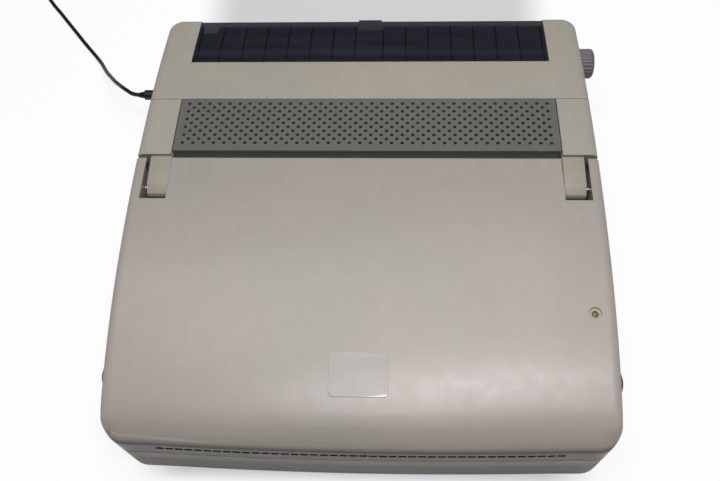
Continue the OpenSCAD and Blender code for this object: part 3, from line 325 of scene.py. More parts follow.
def bake(obj):
    """Applies an object's modifiers to its mesh"""
    bpy.context.view_layer.update()
    deps = bpy.context.evaluated_depsgraph_get()
    new = bpy.data.meshes.new_from_object(obj.evaluated_get(deps))
    old = obj.data
    obj.modifiers.clear()
    obj.data = new
    bpy.data.meshes.remove(old)


def take_mesh(obj):
    """A temporary object's mesh; the object itself goes"""
    bm = bmesh.new()
    bm.from_mesh(obj.data)
    old = obj.data
    bpy.data.objects.remove(obj)
    bpy.data.meshes.remove(old)
    return bm


def shade(obj, degrees=32.0):
    mesh = obj.data
    mesh.polygons.foreach_set("use_smooth", [True] * len(mesh.polygons))
    mesh.set_sharp_from_angle(angle=math.radians(degrees))


# Lid: rings round the plan outline, drawn in from it, then a middle field.
# Every point has an outer and an inner place, so the shell is closed.
CORNER = 18.0


def lid_top(y):
    if y > LID_REAR:
        return HINGE_Z + math.sqrt(max(BARREL_R ** 2 - (y - HINGE_Y) ** 2, 0.0))
    return top(y)


def lid_low(y):
    if y > FOOT[0]:
        return HINGE_Z - math.sqrt(max(BARREL_R ** 2 - (y - HINGE_Y) ** 2, 0.0))
    return joint(y)


def lid_stations():
    """Base point on the outline, inward direction and share of the corner's turn"""
    cy = FRONT + CORNER
    barrel_ys = [HINGE_Y + BARREL_R * math.cos(math.radians(a)) for a in (3, 8, 13, 18, 23)]
    side = barrel_ys + [mix(LID_REAR, cy, (k / 34.0)) for k in range(34)]
    left = [((-SIDE, y), (1.0, 0.0), 0.0) for y in side]
    for k in range(19):
        a = math.radians(5.0 * k)
        c, t = math.cos(a), math.sin(a)
        left.append(((-SIDE + CORNER * (1 - c), cy - CORNER * t), (c, t), k / 18.0))
    front = [((mix(-SIDE + CORNER, SIDE - CORNER, k / 40.0), FRONT), (0.0, 1.0), 1.0)
             for k in range(1, 40)]
    right = [((-b[0], b[1]), (-d[0], d[1]), t) for b, d, t in reversed(left)]
    return left + front + right, len(side)


def bow(x, y):
    """How far the front edge lies back, more towards the corners"""
    return BOW * (min(abs(x), BOW_HALF) / BOW_HALF) ** 2 * ease((-150.0 - y) / 50.0)


def lid_section(base, inward, turn):
    """Inset and height from the joint line up over the edge and inwards"""
    by = base[1]
    swept = ease((turn - 0.45) / 0.55)
    soft = math.sin(math.pi * turn) ** 2

    def over(d):
        return lid_top(by + inward[1] * d)

    def wall(z):
        slant = (CREASE_Y - FRONT - 0.4) * (z - SEAM_Z) / (CREASE_Z - SEAM_Z)
        return max(0.4 + slant, 0.0) * swept

    low = lid_low(by)
    room = over(0.0) - low
    b = min(mix(3.4, 1.8, swept) + 4.5 * soft, 0.4 * room)
    a = min(mix(8.0, 1.6, swept) + 3.0 * soft, 2.0 * b)
    edge = wall(CREASE_Z)
    corner = over(edge)
    p0 = (wall(corner - b), corner - b)
    p1 = (edge, corner)
    p2 = (edge + a, over(edge + a))
    pts = []
    for share in (0.0, 0.28, 0.56, 0.71, 0.86):
        z = mix(low, p0[1], share)
        pts.append((wall(z), z))
    for k in range(9):
        t = k / 8.0
        pts.append(tuple((1 - t) ** 2 * u + 2 * t * (1 - t) * v + t * t * w
                         for u, v, w in zip(p0, p1, p2)))
    for k in range(1, 10):
        d = mix(p2[0], CORNER, (k / 9.0) ** 1.25)
        pts.append((d, over(d)))
    return pts, low


def inner_y(y):
    return y - WALL * ease((y - 25.0) / 9.0)


def lid_skin():
    bm = bmesh.new()
    stations, n_side = lid_stations()
    skins = []
    for inner in (False, True):
        rows = []
        for base, inward, turn in stations:
            pts, low = lid_section(base, inward, turn)
            row = []
            height = pts[-1][1] - low
            for d, z in pts:
                if inner:
                    d = WALL + d * (CORNER - WALL) / CORNER
                    z = low + (z - low) * (1 - min(WALL / max(height, 0.1), 0.9))
                x = base[0] + inward[0] * d
                y = base[1] + inward[1] * d
                y = inner_y(y) if inner else y
                row.append(bm.verts.new((x, y + bow(x, y), z)))
            rows.append(row)
        count = len(rows)
        field = []
        for k in range(n_side):
            a, b = rows[k][-1], rows[count - 1 - k][-1]
            line = [a]
            for j in range(1, 40):
                line.append(bm.verts.new(a.co.lerp(b.co, j / 40.0)))
            line.append(b)
            field.append(line)
        field.append([rows[n_side + 18 + k][-1] for k in range(41)])
        skins.append((rows, field))
    for rows, field in skins:
        grid_faces(bm, rows)
        grid_faces(bm, field)
    out, inn = skins[0], skins[1]
    grid_faces(bm, [[r[0] for r in out[0]], [r[0] for r in inn[0]]])
    rear = [s[0][0][:-1] + s[1][0] + s[0][-1][:-1][::-1] for s in (out, inn)]
    grid_faces(bm, rear)
    return temp_object(bm, "lid_skin")


NOTCH_IN, NOTCH_OUT, NOTCH_FRONT = 163.8, 185.8, -9.0
LAMP = (178.7, -106.5)
PIN_R = 3.0
SLITS, SLIT_PITCH, SLIT_HALF = 42, 7.45, 3.1
SLIT_LOW, SLIT_HIGH = 62.8, 67.4


def arc_points(r, a0, a1, n):
    return [(HINGE_Y + r * math.cos(math.radians(mix(a0, a1, k / n))),
             HINGE_Z + r * math.sin(math.radians(mix(a0, a1, k / n)))) for k in range(n + 1)]


def build_lid():
    """The skin with barrel, notch walls and lamp socket joined, then every opening cut"""
    obj = lid_skin()
    bm = bmesh.new()
    last = -90.0 + math.degrees(LID_TILT)
    outer = arc_points(BARREL_R - 0.02, 1.0, last, 14)
    inner = arc_points(BARREL_R - WALL, last, 1.0, 14)
    prism_into(bm, outer + inner, -SIDE + 0.3, SIDE - 0.3)
    for s in (-1, 1):
        for x0, x1, y0, y1 in ((NOTCH_IN - 3, NOTCH_IN + 0.5, -12, 23),
                               (NOTCH_OUT - 0.5, NOTCH_OUT + 3, -12, 23),
                               (NOTCH_IN - 3, NOTCH_OUT + 3, -12, -8)):
            box_into(bm, (s * x0, y0, 76), (s * x1, y1, 103.5))
    cylinder_into(bm, (LAMP[0], LAMP[1], 96), 2, 6.5, 9)
    boolean(obj, bm, "UNION")
    bm = bmesh.new()
    for s in (-1, 1):
        box_into(bm, (s * NOTCH_IN, NOTCH_FRONT, 40), (s * NOTCH_OUT, 60, 130))
        box_into(bm, (s * (SIDE - 10), -165, 82.5), (s * (SIDE + 10), -145, 91.5))
    boolean(obj, bm, "DIFFERENCE")
    bm = bmesh.new()
    cylinder_into(bm, (0, HINGE_Y, HINGE_Z), 0, PIN_R, 382)
    cylinder_into(bm, (LAMP[0], LAMP[1], arch(LAMP[1]) - 1.2 + 10), 2, 5.0, 20)
    boolean(obj, bm, "DIFFERENCE")
    bm = bmesh.new()
    cylinder_into(bm, (LAMP[0], LAMP[1], 96), 2, 2.6, 40)
    for k in range(SLITS):
        x = (k - (SLITS - 1) / 2.0) * SLIT_PITCH
        box_into(bm, (x - SLIT_HALF, FRONT - 3, SLIT_LOW), (x + SLIT_HALF, FRONT + 9, SLIT_HIGH))
    boolean(obj, bm, "DIFFERENCE")
    return obj


lid_bm = take_mesh(build_lid())
bmesh.ops.dissolve_degenerate(lid_bm, dist=1e-4, edges=lid_bm.edges)
lid = to_object("lid_cover", lid_bm, "lid", ("lid_shell",))
shade(lid)


def raw_mesh(node):
    """A node's own mesh in mm"""
    bm = bmesh.new()
    bm.from_mesh(nodes[node].data)
    for v in bm.verts:
        v.co = Vector((v.co.x / MM - SHIFT, v.co.y / MM, v.co.z / MM))
    bmesh.ops.remove_doubles(bm, verts=bm.verts, dist=1e-3)
    return bm


# Rear cover and side panels: the solid's own mesh, cut finer near the outer edges and
# rounded there
def outline_inset(x, y, rear_corner):
    """Distance in from the plan outline, and share of the turn from side to rear"""
    cx, cy = SIDE - rear_corner, REAR - rear_corner
    dx, dy = abs(x) - cx, y - cy
    if dx > 0 and dy > 0:
        return rear_corner - math.hypot(dx, dy), math.atan2(dy, dx) / (math.pi / 2)
    if SIDE - abs(x) <= REAR - y:
        return SIDE - abs(x), 0.0
    return REAR - y, 1.0


def rounded_copy(node, name, step=9.0):
    bm = raw_mesh(node)

    def on_top(v):
        return abs(v.co.z - arch(v.co.y)) < 0.25

    def cut(point, normal, near):
        faces = [f for f in bm.faces if all(on_top(v) for v in f.verts)
                 and any(near(v.co) for v in f.verts)]
        parts = set(faces)
        for f in faces:
            parts.update(f.edges)
            parts.update(f.verts)
        if faces:
            bmesh.ops.bisect_plane(bm, geom=list(parts), dist=1e-3, plane_co=point,
                                   plane_no=normal)

    ys = [v.co.y for v in bm.verts]
    y = math.ceil(min(ys) / step) * step
    while y < max(ys):
        cut((0, y, 0), (0, 1, 0), lambda c: True)
        y += step
    for d in (0.3, 0.8, 1.5, 2.4, 3.5, 4.8, 6.3, 8.0):
        for s in (-1, 1):
            cut((s * (SIDE - d), 0, 0), (1, 0, 0), lambda c: c.x * s > 0)
    if max(ys) > REAR - 5:
        for d in (0.4, 0.9, 1.6, 2.4):
            cut((0, REAR - d, 0), (0, 1, 0), lambda c: c.y > REAR - 14)
        for d in (0.5, 1.5, 3.0, 5.5, 9.0):
            for t in (15, 30, 45, 60, 75):
                for s in (-1, 1):
                    n = Vector((s * math.cos(math.radians(t)), math.sin(math.radians(t)), 0))
                    c = Vector((s * (SIDE - REAR_CORNER), REAR - REAR_CORNER, 0))
                    c += n * (REAR_CORNER - d)
                    cut(c, n, lambda c: c.x * s > SIDE - 14 and c.y > REAR - 14)
    for v in bm.verts:
        if on_top(v):
            inset, turn = outline_inset(v.co.x, v.co.y, REAR_CORNER)
            t = ease(turn)
            a, b = mix(8.0, 2.4, t), mix(4.0, 1.8, t)
            drop = 0.0
            if inset < a:
                drop = b * (1 - math.sqrt(max(1 - ((a - max(inset, 0.0)) / a) ** 2, 0.0)))
            v.co.z = arch(v.co.y) - drop
    bmesh.ops.triangulate(bm, faces=[f for f in bm.faces if len(f.verts) > 4])
    obj = to_object(name, bm, "base", (node,))
    shade(obj, 30.0)
    return obj


def node_mesh(node):
    """A node's own mesh in mm, with its flat faces joined"""
    bm = raw_mesh(node)
    bmesh.ops.dissolve_limit(bm, angle_limit=math.radians(0.5), verts=bm.verts,
                             edges=bm.edges)
    return bm


def placed(node, name, bm, degrees=35.0):
    """A finished mesh takes over the node's body, and the node is hidden"""
    src = nodes[node]
    obj = to_object(name, bm, src["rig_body"], (node,))
    shade(obj, degrees)
    return obj


def ease_edges(bm, width, segments=2, angle=30.0, where=None):
    edges = [e for e in bm.edges if len(e.link_faces) == 2
             and e.calc_face_angle(0.0) > math.radians(angle)
             and (where is None or where(e))]
    bmesh.ops.bevel(bm, geom=edges, offset=width, offset_type="OFFSET", segments=segments,
                    profile=0.5, affect="EDGES", clamp_overlap=True)
    bmesh.ops.triangulate(bm, faces=[f for f in bm.faces if len(f.verts) > 4])


# Lower case, deck and the lid's inner cover: their front edge bows like the lid's
DECK_SCREW = (150.0, -192.0)


def bowed_copy(node, name, width, where):
    """A node's own mesh, cut finer along the front, with its front edge bowed"""
    bm = node_mesh(node)
    bmesh.ops.remove_doubles(bm, verts=[v for v in bm.verts if v.co.y < FRONT + 25.0], dist=0.12)
    for x in range(-150, 151, 30):
        geom = [f for f in bm.faces if all(v.co.y < FRONT + WALL + 0.6 for v in f.verts)]
        parts = set(geom)
        for f in geom:
            parts.update(f.edges)
            parts.update(f.verts)
        bmesh.ops.bisect_plane(bm, geom=list(parts), dist=1e-3, plane_co=(x, 0, 0),
                               plane_no=(1, 0, 0))
    if width:
        ease_edges(bm, width, 3, 40.0, where)
    for v in bm.verts:
        x, y = v.co.x, v.co.y
        if math.hypot(abs(x) - DECK_SCREW[0], y - DECK_SCREW[1]) < 6.5:
            continue
        if abs(x) < SIDE - 12 and y > FRONT + 12:
            continue
        v.co.y += bow(x, y)
    return placed(node, name, bm, 30.0)


def outer_edge(e):
    mid = (e.verts[0].co + e.verts[1].co) / 2
    return mid.z < 3.05 and (abs(mid.x) > SIDE - REAR_CORNER or abs(mid.y) > REAR - REAR_CORNER)


lower = bowed_copy("lower_case", "lower_case_shell", 1.6, outer_edge)
deck = bowed_copy("keyboard_deck", "keyboard_deck_top", 0.5, lambda e: (
    -168 < e.verts[0].co.y < -30 and abs(e.verts[0].co.x) < 180 and e.verts[0].co.z > 50))
bezel = bowed_copy("lid_bezel", "lid_bezel_frame", 0.0, None)


# Hinge arms: flat on top, with a crisp bend over the pin
ARM_IN, ARM_OUT = 165.2, 183.6


def arm(side):
    """One arm: its side view carried across, edges eased, and the pin's bore cut"""
    top_z = arch(36.0) - 3.0
    low_z = top_z - 9.2
    outline = [(60, 36), (60, arch(60) - 3.1), (48, arch(48) - 3.1), (36, top_z - 0.05),
               (9.4, top_z), (1.4, 96.2), (0.4, 93.6)]
    for k in range(11):
        a = math.radians(mix(185.0, 353.0, k / 10.0))
        outline.append((HINGE_Y + 8.7 * math.cos(a), HINGE_Z + 8.7 * math.sin(a)))
    outline += [(18.5, low_z), (47, low_z), (47, 36)]
    bm = bmesh.new()
    prism_into(bm, outline, side * ARM_IN, side * ARM_OUT)
    bmesh.ops.recalc_face_normals(bm, faces=bm.faces)
    ease_edges(bm, 0.55, 3, 20.0)
    obj = temp_object(bm, "arm")
    bore = bmesh.new()
    cylinder_into(bore, (side * (ARM_IN + ARM_OUT) / 2, HINGE_Y, HINGE_Z), 0, PIN_R + 0.05, 30, 32)
    boolean(obj, bore, "DIFFERENCE")
    node = "hinge_arm_right" if side > 0 else "hinge_arm_left"
    return placed(node, node.replace("hinge_arm", "lid_arm"), take_mesh(obj))


arms = [arm(-1), arm(1)]


# Paper knob: soft flutes that run out over the rounded end
KNOB_Y, KNOB_Z, KNOB_R = 171.0, 52.0, 14.0


def paper_knob():
    bm = bmesh.new()
    around, flutes = 288, 24
    x0, x1, r = SIDE + 1.0, SIDE + 17.4, KNOB_R
    line = [(x0, 4.0), (x0, r - 1.2), (x0 + 0.5, r - 0.3), (x0 + 1.2, r)]
    line += [(mix(x0 + 1.2, x1 - 3.6, k / 6.0), r) for k in range(1, 7)]
    for k in range(1, 9):
        a = math.radians(k * 11.25)
        line.append((x1 - 3.6 + 3.6 * math.sin(a), r - 3.6 + 3.6 * math.cos(a)))
    line += [(x1 - 0.1, 9.2), (x1 - 0.5, 8.6), (x1 - 1.0, 8.0), (x1 - 1.15, 4.0),
             (x1 - 1.2, 0.0)]
    rings = []
    for x, rad in line:
        share = ease((rad - 11.0) / 2.6) * ease((x - x0 - 0.8) / 1.5)
        ring = []
        for k in range(around):
            a = 2 * math.pi * k / around
            groove = 0.5 - 0.5 * math.cos(flutes * a)
            q = rad - 0.75 * share * groove ** 2.2
            ring.append(bm.verts.new((x, KNOB_Y + q * math.cos(a), KNOB_Z + q * math.sin(a))))
        rings.append(ring)
    for a, b in zip(rings, rings[1:]):
        for k in range(around):
            j = (k + 1) % around
            bm.faces.new((a[k], a[j], b[j], b[k]))
    bm.faces.new(rings[0][::-1])
    bmesh.ops.remove_doubles(bm, verts=bm.verts, dist=1e-4)
    bmesh.ops.recalc_face_normals(bm, faces=bm.faces)
    return placed("platen_knob", "paper_knob", bm, 40.0)


turn_knob = paper_knob()

# Key caps: drawn in towards the top, with rounded edges and a shallow dish
DECK_TILT = (math.atan2(HINGE_Z - SEAM_Z, HINGE_Y - FRONT) - math.asin(
    (BARREL_R + 0.8) / math.hypot(HINGE_Y - FRONT, HINGE_Z - SEAM_Z)))
KEY_TOP, KEY_LOW = 4.8, -3.2


def islands(bm):
    seen, out = set(), []
    for v in bm.verts:
        if v in seen:
            continue
        group, todo = [], [v]
        seen.add(v)
        while todo:
            u = todo.pop()
            group.append(u)
            for e in u.link_edges:
                w = e.other_vert(u)
                if w not in seen:
                    seen.add(w)
                    todo.append(w)
        out.append(group)
    return out


def cap_into(bm, x0, x1, y0, y1, dish):
    mx, my, hx, hy = (x0 + x1) / 2, (y0 + y1) / 2, (x1 - x0) / 2, (y1 - y0) / 2
    span = KEY_TOP - KEY_LOW

    def ring(ax, ay, corner, height):
        pts = []
        for sx, sy, start in ((1, 1, 0), (-1, 1, 90), (-1, -1, 180), (1, -1, 270)):
            for k in range(5):
                a = math.radians(start + 22.5 * k)
                x = sx * (ax - corner) + corner * math.cos(a)
                y = sy * (ay - corner) + corner * math.sin(a)
                pts.append(bm.verts.new((mx + x, my + y, height(x, y))))
            nx, ny = {(1, 1): (-1, 1), (-1, 1): (-1, -1), (-1, -1): (1, -1),
                      (1, -1): (1, 1)}[(sx, sy)]
            cut = math.radians(start + 90)
            p = (sx * (ax - corner) + corner * math.cos(cut),
                 sy * (ay - corner) + corner * math.sin(cut))
            q = (nx * (ax - corner) + corner * math.cos(cut),
                 ny * (ay - corner) + corner * math.sin(cut))
            for k in range(1, 6):
                x, y = mix(p[0], q[0], k / 6.0), mix(p[1], q[1], k / 6.0)
                pts.append(bm.verts.new((mx + x, my + y, height(x, y))))
        return pts

    def surface(x, y):
        return KEY_TOP - dish * (1 - min((x / (hx - 2.4)) ** 2, 1.0)) - 0.02

    rings = []
    for k in range(4):
        t = k / 3.0 * (1 - 0.9 / span)
        rings.append(ring(hx - 2.4 * t, hy - 1.9 * t, mix(0.9, 1.6, t),
                          lambda x, y, t=t: KEY_LOW + span * t))
    for inset, drop in ((0.12, 0.45), (0.4, 0.15), (0.8, 0.03), (1.4, 0.0)):
        rings.append(ring(hx - 2.4 - inset + 0.25, hy - 1.9 - inset + 0.2, 1.5,
                          lambda x, y, drop=drop: surface(x, y) - drop))
    for t in (0.75, 0.5, 0.25):
        rings.append(ring((hx - 3.6) * t, (hy - 3.1) * t, 1.3 * t, surface))
    for a, b in zip(rings, rings[1:]):
        n = len(a)
        for k in range(n):
            j = (k + 1) % n
            bm.faces.new((a[k], a[j], b[j], b[k]))
    bm.faces.new(rings[0][::-1])
    bm.faces.new(rings[-1])


def key_caps(node):
    src = node_mesh(node)
    turn = Matrix.Rotation(-DECK_TILT, 3, "X")
    for v in src.verts:
        v.co = turn @ (v.co - Vector((0, FRONT, SEAM_Z)))
    bm = bmesh.new()
    dish = -0.5 if node == "space_bar" else 0.55
    for group in islands(src):
        cap = [v.co for v in group if v.co.z > KEY_LOW - 0.05]
        foot = [v.co for v in group if v.co.z < KEY_LOW - 0.6]
        xs, ys = [c.x for c in cap], [c.y for c in cap]
        cap_into(bm, min(xs), max(xs), min(ys), max(ys), dish)
        low = min(c.z for c in foot)
        mid = (min(xs) + max(xs)) / 2
        stems = [c.x for c in foot]
        places = [-28.0, 28.0] if max(stems) - min(stems) > 20 else [0.0]
        for dx in places:
            cylinder_into(bm, (mid + dx, (min(ys) + max(ys)) / 2, (low + KEY_LOW + 0.4) / 2),
                          2, 2.6, KEY_LOW + 0.4 - low, 20)
    src.free()
    back = Matrix.Rotation(DECK_TILT, 3, "X")
    for v in bm.verts:
        v.co = back @ v.co + Vector((0, FRONT, SEAM_Z))
    bmesh.ops.recalc_face_normals(bm, faces=bm.faces)
    return placed(node, node + "_caps", bm, 50.0)


key_nodes = ("function_keys", "number_keys", "upper_keys", "home_keys", "lower_keys",
             "bottom_keys", "space_bar")
caps = {n: key_caps(n) for n in key_nodes}


def latch(node):
    """The button is drawn in by a third of its reach, to what the photo shows"""
    bm = node_mesh(node)
    for v in bm.verts:
        past = abs(v.co.x) - SIDE
        if past > 0:
            v.co.x = math.copysign(SIDE + past * 0.65, v.co.x)
    ease_edges(bm, 0.5)
    return placed(node, node + "_button", bm)


latches = [latch("latch_left"), latch("latch_right")]

rear_cover = rounded_copy("rear_cover", "rear_top_cover")
panel_left = rounded_copy("side_panel_left", "side_cover_left")
panel_right = rounded_copy("side_panel_right", "side_cover_right")


# Materials
def linear(c):
    return tuple(((v / 255.0 + 0.055) / 1.055) ** 2.4 if v > 10.3 else v / 255.0 / 12.92
                 for v in c) + (1.0,)


class Surface:
    """A material and short ways to add its nodes"""

    def __init__(self, name):
        self.mat = bpy.data.materials.new(name)
        self.mat.use_nodes = True
        self.tree = self.mat.node_tree
        self.shader = self.tree.nodes["Principled BSDF"]
        coords = self.tree.nodes.new("ShaderNodeTexCoord")
        self.place, self.normal = coords.outputs["Object"], coords.outputs["Normal"]

    def node(self, kind, links=(), **values):
        n = self.tree.nodes.new(kind)
        for k, v in values.items():
            setattr(n, k, v)
        for socket, value in links:
            if isinstance(value, bpy.types.NodeSocket):
                self.tree.links.new(value, n.inputs[socket])
            else:
                n.inputs[socket].default_value = value
        return n

    def noise(self, scale, detail=3.0, rough=0.55, stretch=(1, 1, 1), shift=0.0):
        m = self.node("ShaderNodeMapping", [("Vector", self.place), ("Scale", stretch),
                                            ("Location", (shift, shift * 0.7, shift * 1.3))])
        n = self.node("ShaderNodeTexNoise", [("Vector", m.outputs[0]), ("Scale", scale),
                                             ("Detail", detail), ("Roughness", rough)])
        return n.outputs["Fac"]

    def cells(self, scale, stretch=(1, 1, 1)):
        m = self.node("ShaderNodeMapping", [("Vector", self.place), ("Scale", stretch)])
        n = self.node("ShaderNodeTexVoronoi", [("Vector", m.outputs[0]), ("Scale", scale)])
        return n.outputs["Distance"]

    def ramp(self, fac, stops):
        r = self.node("ShaderNodeValToRGB", [("Fac", fac)])
        while len(r.color_ramp.elements) < len(stops):
            r.color_ramp.elements.new(0.5)
        for e, (pos, col) in zip(r.color_ramp.elements, stops):
            e.position = pos
            e.color = col if not isinstance(col, (int, float)) else (col, col, col, 1.0)
        return r.outputs["Color"]

    def blend(self, fac, a, b, kind="MIX"):
        n = self.node("ShaderNodeMix", data_type="RGBA", blend_type=kind)
        for socket, value in ((0, fac), (6, a), (7, b)):
            if isinstance(value, bpy.types.NodeSocket):
                self.tree.links.new(value, n.inputs[socket])
            else:
                n.inputs[socket].default_value = value
        return n.outputs[2]

    def math(self, op, a, b=0.0):
        n = self.node("ShaderNodeMath", [(0, a), (1, b)], operation=op)
        return n.outputs[0]

    def axis(self, k):
        return self.node("ShaderNodeSeparateXYZ", [("Vector", self.place)]).outputs[k]

    def band(self, value, a, b, c, d):
        """1 between b and c, 0 outside a and d, all in mm"""
        up = self.node("ShaderNodeMapRange", [("Value", value), ("From Min", a * MM),
                                              ("From Max", b * MM)], interpolation_type="SMOOTHSTEP")
        down = self.node("ShaderNodeMapRange", [("Value", value), ("From Min", d * MM),
                                                ("From Max", c * MM)],
                         interpolation_type="SMOOTHSTEP")
        return self.math("MULTIPLY", up.outputs[0], down.outputs[0])

    def up(self):
        return self.node("ShaderNodeSeparateXYZ", [("Vector", self.normal)]).outputs[2]

    def to(self, socket, value):
        if isinstance(value, bpy.types.NodeSocket):
            self.tree.links.new(value, self.shader.inputs[socket])
        else:
            self.shader.inputs[socket].default_value = value

    def bump(self, height, strength, distance, round_by=0.0):
        links = [("Height", height), ("Strength", strength), ("Distance", distance)]
        if round_by:
            r = self.node("ShaderNodeBevel", [("Radius", round_by)], samples=4)
            links.append(("Normal", r.outputs[0]))
        self.to("Normal", self.node("ShaderNodeBump", links).outputs[0])


def shift_colour(c, gain, warm=0.0):
    return (min(c[0] * gain * (1 + warm), 1.0), min(c[1] * gain, 1.0),
            min(c[2] * gain * (1 - warm), 1.0), 1.0)


def moulded(name, rgb, rough=0.42, vary=0.06, warm=0.03, speck=0.03, grain=0.05,
            grain_size=1400.0, scuffs=0.25, round_by=0.0005, specular=0.38, walls=0.0,
            painted_light_and_marks=None):
    """Moulded plastic: slow yellowing, blotches, fine spark grain, light handling marks, and painted
    shade on upright faces (walls)
    """
    s = Surface(name)
    c = linear(rgb)
    slow = s.noise(7.0, 2.0, 0.5)
    colour = s.ramp(slow, [(0.3, shift_colour(c, 1 - vary / 2, -warm / 2)),
                           (0.7, shift_colour(c, 1 + vary / 2, warm))])
    blotch = s.ramp(s.noise(60.0, 4.0, 0.6, shift=3.0),
                    [(0.35, 1 - vary * 0.6), (0.65, 1.0)])
    colour = s.blend(1.0, colour, blotch, "MULTIPLY")
    fine = s.ramp(s.noise(grain_size, 2.0, 0.6), [(0.35, 1 - speck), (0.65, 1.0)])
    colour = s.blend(1.0, colour, fine, "MULTIPLY")
    # Painted shade: upright faces are darkened by the share walls, standing in for the lower light
    # they get
    if walls:
        side = s.ramp(s.up(), [(0.15, 1 - walls), (0.75, 1.0)])
        colour = s.blend(1.0, colour, side, "MULTIPLY")
    if painted_light_and_marks:
        colour = painted_light_and_marks(s, colour, c)
    marks = s.ramp(s.noise(26.0, 5.0, 0.7, stretch=(1.0, 7.0, 3.0), shift=9.0),
                   [(0.66, 0.0), (0.74, 1.0)])
    amount = s.math("MULTIPLY", marks, scuffs)
    colour = s.blend(amount, colour, shift_colour(c, 0.86, 0.02))
    s.to("Base Color", colour)
    s.to("Roughness", s.math("ADD", s.math("MULTIPLY", s.noise(90.0, 4.0, 0.6, shift=5.0), 0.16),
                             s.math("ADD", s.math("MULTIPLY", marks, 0.05), rough - 0.08)))
    if not painted_light_and_marks:
        s.shader.inputs["Specular IOR Level"].default_value = specular
    height = s.math("ADD", s.math("MULTIPLY", s.noise(grain_size, 3.0, 0.6, shift=1.0), 1.0),
                    s.math("MULTIPLY", s.cells(grain_size * 0.8), 0.4))
    s.bump(height, grain, 0.0002, round_by)
    return s.mat


def metal(name, rgb, rough=0.3, brushed=(1, 1, 1), metallic=1.0, stain=0.1, round_by=0.0003):
    s = Surface(name)
    c = linear(rgb)
    lines = s.noise(500.0, 4.0, 0.7, stretch=brushed)
    dull = s.noise(35.0, 5.0, 0.65, shift=2.0)
    colour = s.ramp(dull, [(0.3, shift_colour(c, 1 - stain, 0.02)), (0.7, shift_colour(c, 1.04))])
    s.to("Base Color", s.blend(0.25, colour, s.ramp(lines, [(0.3, shift_colour(c, 0.8)),
                                                            (0.7, shift_colour(c, 1.1))])))
    s.shader.inputs["Metallic"].default_value = metallic
    s.to("Roughness", s.math("ADD", s.math("MULTIPLY", dull, 0.2), rough - 0.1))
    s.bump(lines, 0.06, 0.0001, round_by)
    return s.mat


def rubber(name, rgb, rough=0.75):
    s = Surface(name)
    c = linear(rgb)
    dust = s.ramp(s.noise(140.0, 5.0, 0.7), [(0.45, 0.0), (0.8, 0.5)])
    s.to("Base Color", s.blend(dust, s.ramp(s.noise(400.0, 3.0), [
        (0.3, shift_colour(c, 0.8)), (0.7, shift_colour(c, 1.3))]), linear((92, 90, 86))))
    s.to("Roughness", s.math("ADD", s.math("MULTIPLY", s.noise(200.0, 3.0), 0.2), rough - 0.1))
    s.bump(s.noise(1500.0, 3.0), 0.15, 0.0002, 0.0004)
    return s.mat


def board(name, rgb, track):
    s = Surface(name)
    c, t = linear(rgb), linear(track)
    a = s.cells(260.0, stretch=(1, 0.12, 1))
    b = s.cells(260.0, stretch=(0.12, 1, 1))
    lines = s.math("MAXIMUM", s.ramp(a, [(0.02, 1.0), (0.06, 0.0)]),
                   s.ramp(b, [(0.02, 1.0), (0.06, 0.0)]))
    base = s.ramp(s.noise(30.0, 3.0), [(0.3, shift_colour(c, 0.85)), (0.7, shift_colour(c, 1.1))])
    s.to("Base Color", s.blend(s.math("MULTIPLY", lines, 0.6), base, t))
    s.to("Roughness", s.math("ADD", s.math("MULTIPLY", s.noise(300.0, 3.0), 0.2), 0.3))
    s.bump(lines, 0.2, 0.0001)
    return s.mat


def smoked():
    """Smoked clear plastic, seen through a little, with dark rib lines and painted highlight bands
    along the rear edge and further forward
    """
    s = Surface("smoked_cover")
    streak = s.noise(14.0, 4.0, 0.6, stretch=(0.6, 5.0, 1.0))
    haze = s.ramp(streak, [(0.3, (0.014, 0.015, 0.022, 1)), (0.75, (0.028, 0.030, 0.042, 1))])
    x, y = s.axis(0), s.axis(1)
    off = s.math("ABSOLUTE", s.math("SUBTRACT", s.math("ABSOLUTE", s.math(
        "SUBTRACT", x, SHIFT * MM)), 13.0 * MM))
    across = s.math("PINGPONG", off, 10.55 * MM)
    line = s.ramp(s.math("MULTIPLY", across, 1 / MM), [(0.55, 1.0), (1.0, 0.0)])
    line = s.math("MULTIPLY", line, s.band(y, 149.0, 150.0, 197.0, 201.0))
    haze = s.blend(s.math("MULTIPLY", line, 0.85), haze, (0.004, 0.004, 0.006, 1))
    # Painted highlights: a lighter band along the curved rear edge and a fainter one further forward
    rear = s.band(y, 196.0, 200.0, 206.5, 208.0)
    haze = s.blend(s.math("MULTIPLY", rear, 0.5), haze, (0.040, 0.044, 0.054, 1))
    glow = s.band(y, 153.0, 158.0, 160.0, 170.0)
    haze = s.blend(s.math("MULTIPLY", glow, 0.25), haze, (0.050, 0.054, 0.070, 1))
    patch = s.math("MULTIPLY", s.band(y, 188.0, 189.5, 198.0, 200.0),
                   s.band(x, SHIFT - 161.0, SHIFT - 159.0, SHIFT - 147.0, SHIFT - 145.0))
    haze = s.blend(s.math("MULTIPLY", patch, 0.35), haze, (0.13, 0.13, 0.14, 1))
    s.to("Base Color", haze)
    s.to("Roughness", s.math("ADD", s.math("MULTIPLY", s.noise(120.0, 4.0, 0.7), 0.12), 0.07))
    s.shader.inputs["Specular IOR Level"].default_value = 0.5
    s.to("Alpha", s.ramp(s.noise(9.0, 2.0), [(0.3, 0.80), (0.7, 0.86)]))
    s.bump(s.noise(220.0, 3.0), 0.03, 0.0003, 0.0004)
    return s.mat


def lamp_material():
    s = Surface("lamp_green")
    c = linear((146, 160, 84))
    s.to("Base Color", s.ramp(s.cells(900.0), [(0.0, shift_colour(c, 1.25)),
                                               (0.6, shift_colour(c, 0.6))]))
    s.to("Roughness", s.math("ADD", s.math("MULTIPLY", s.noise(800.0), 0.2), 0.12))
    s.shader.inputs["Transmission Weight"].default_value = 0.35
    s.bump(s.cells(1200.0), 0.3, 0.0002, 0.0003)
    return s.mat


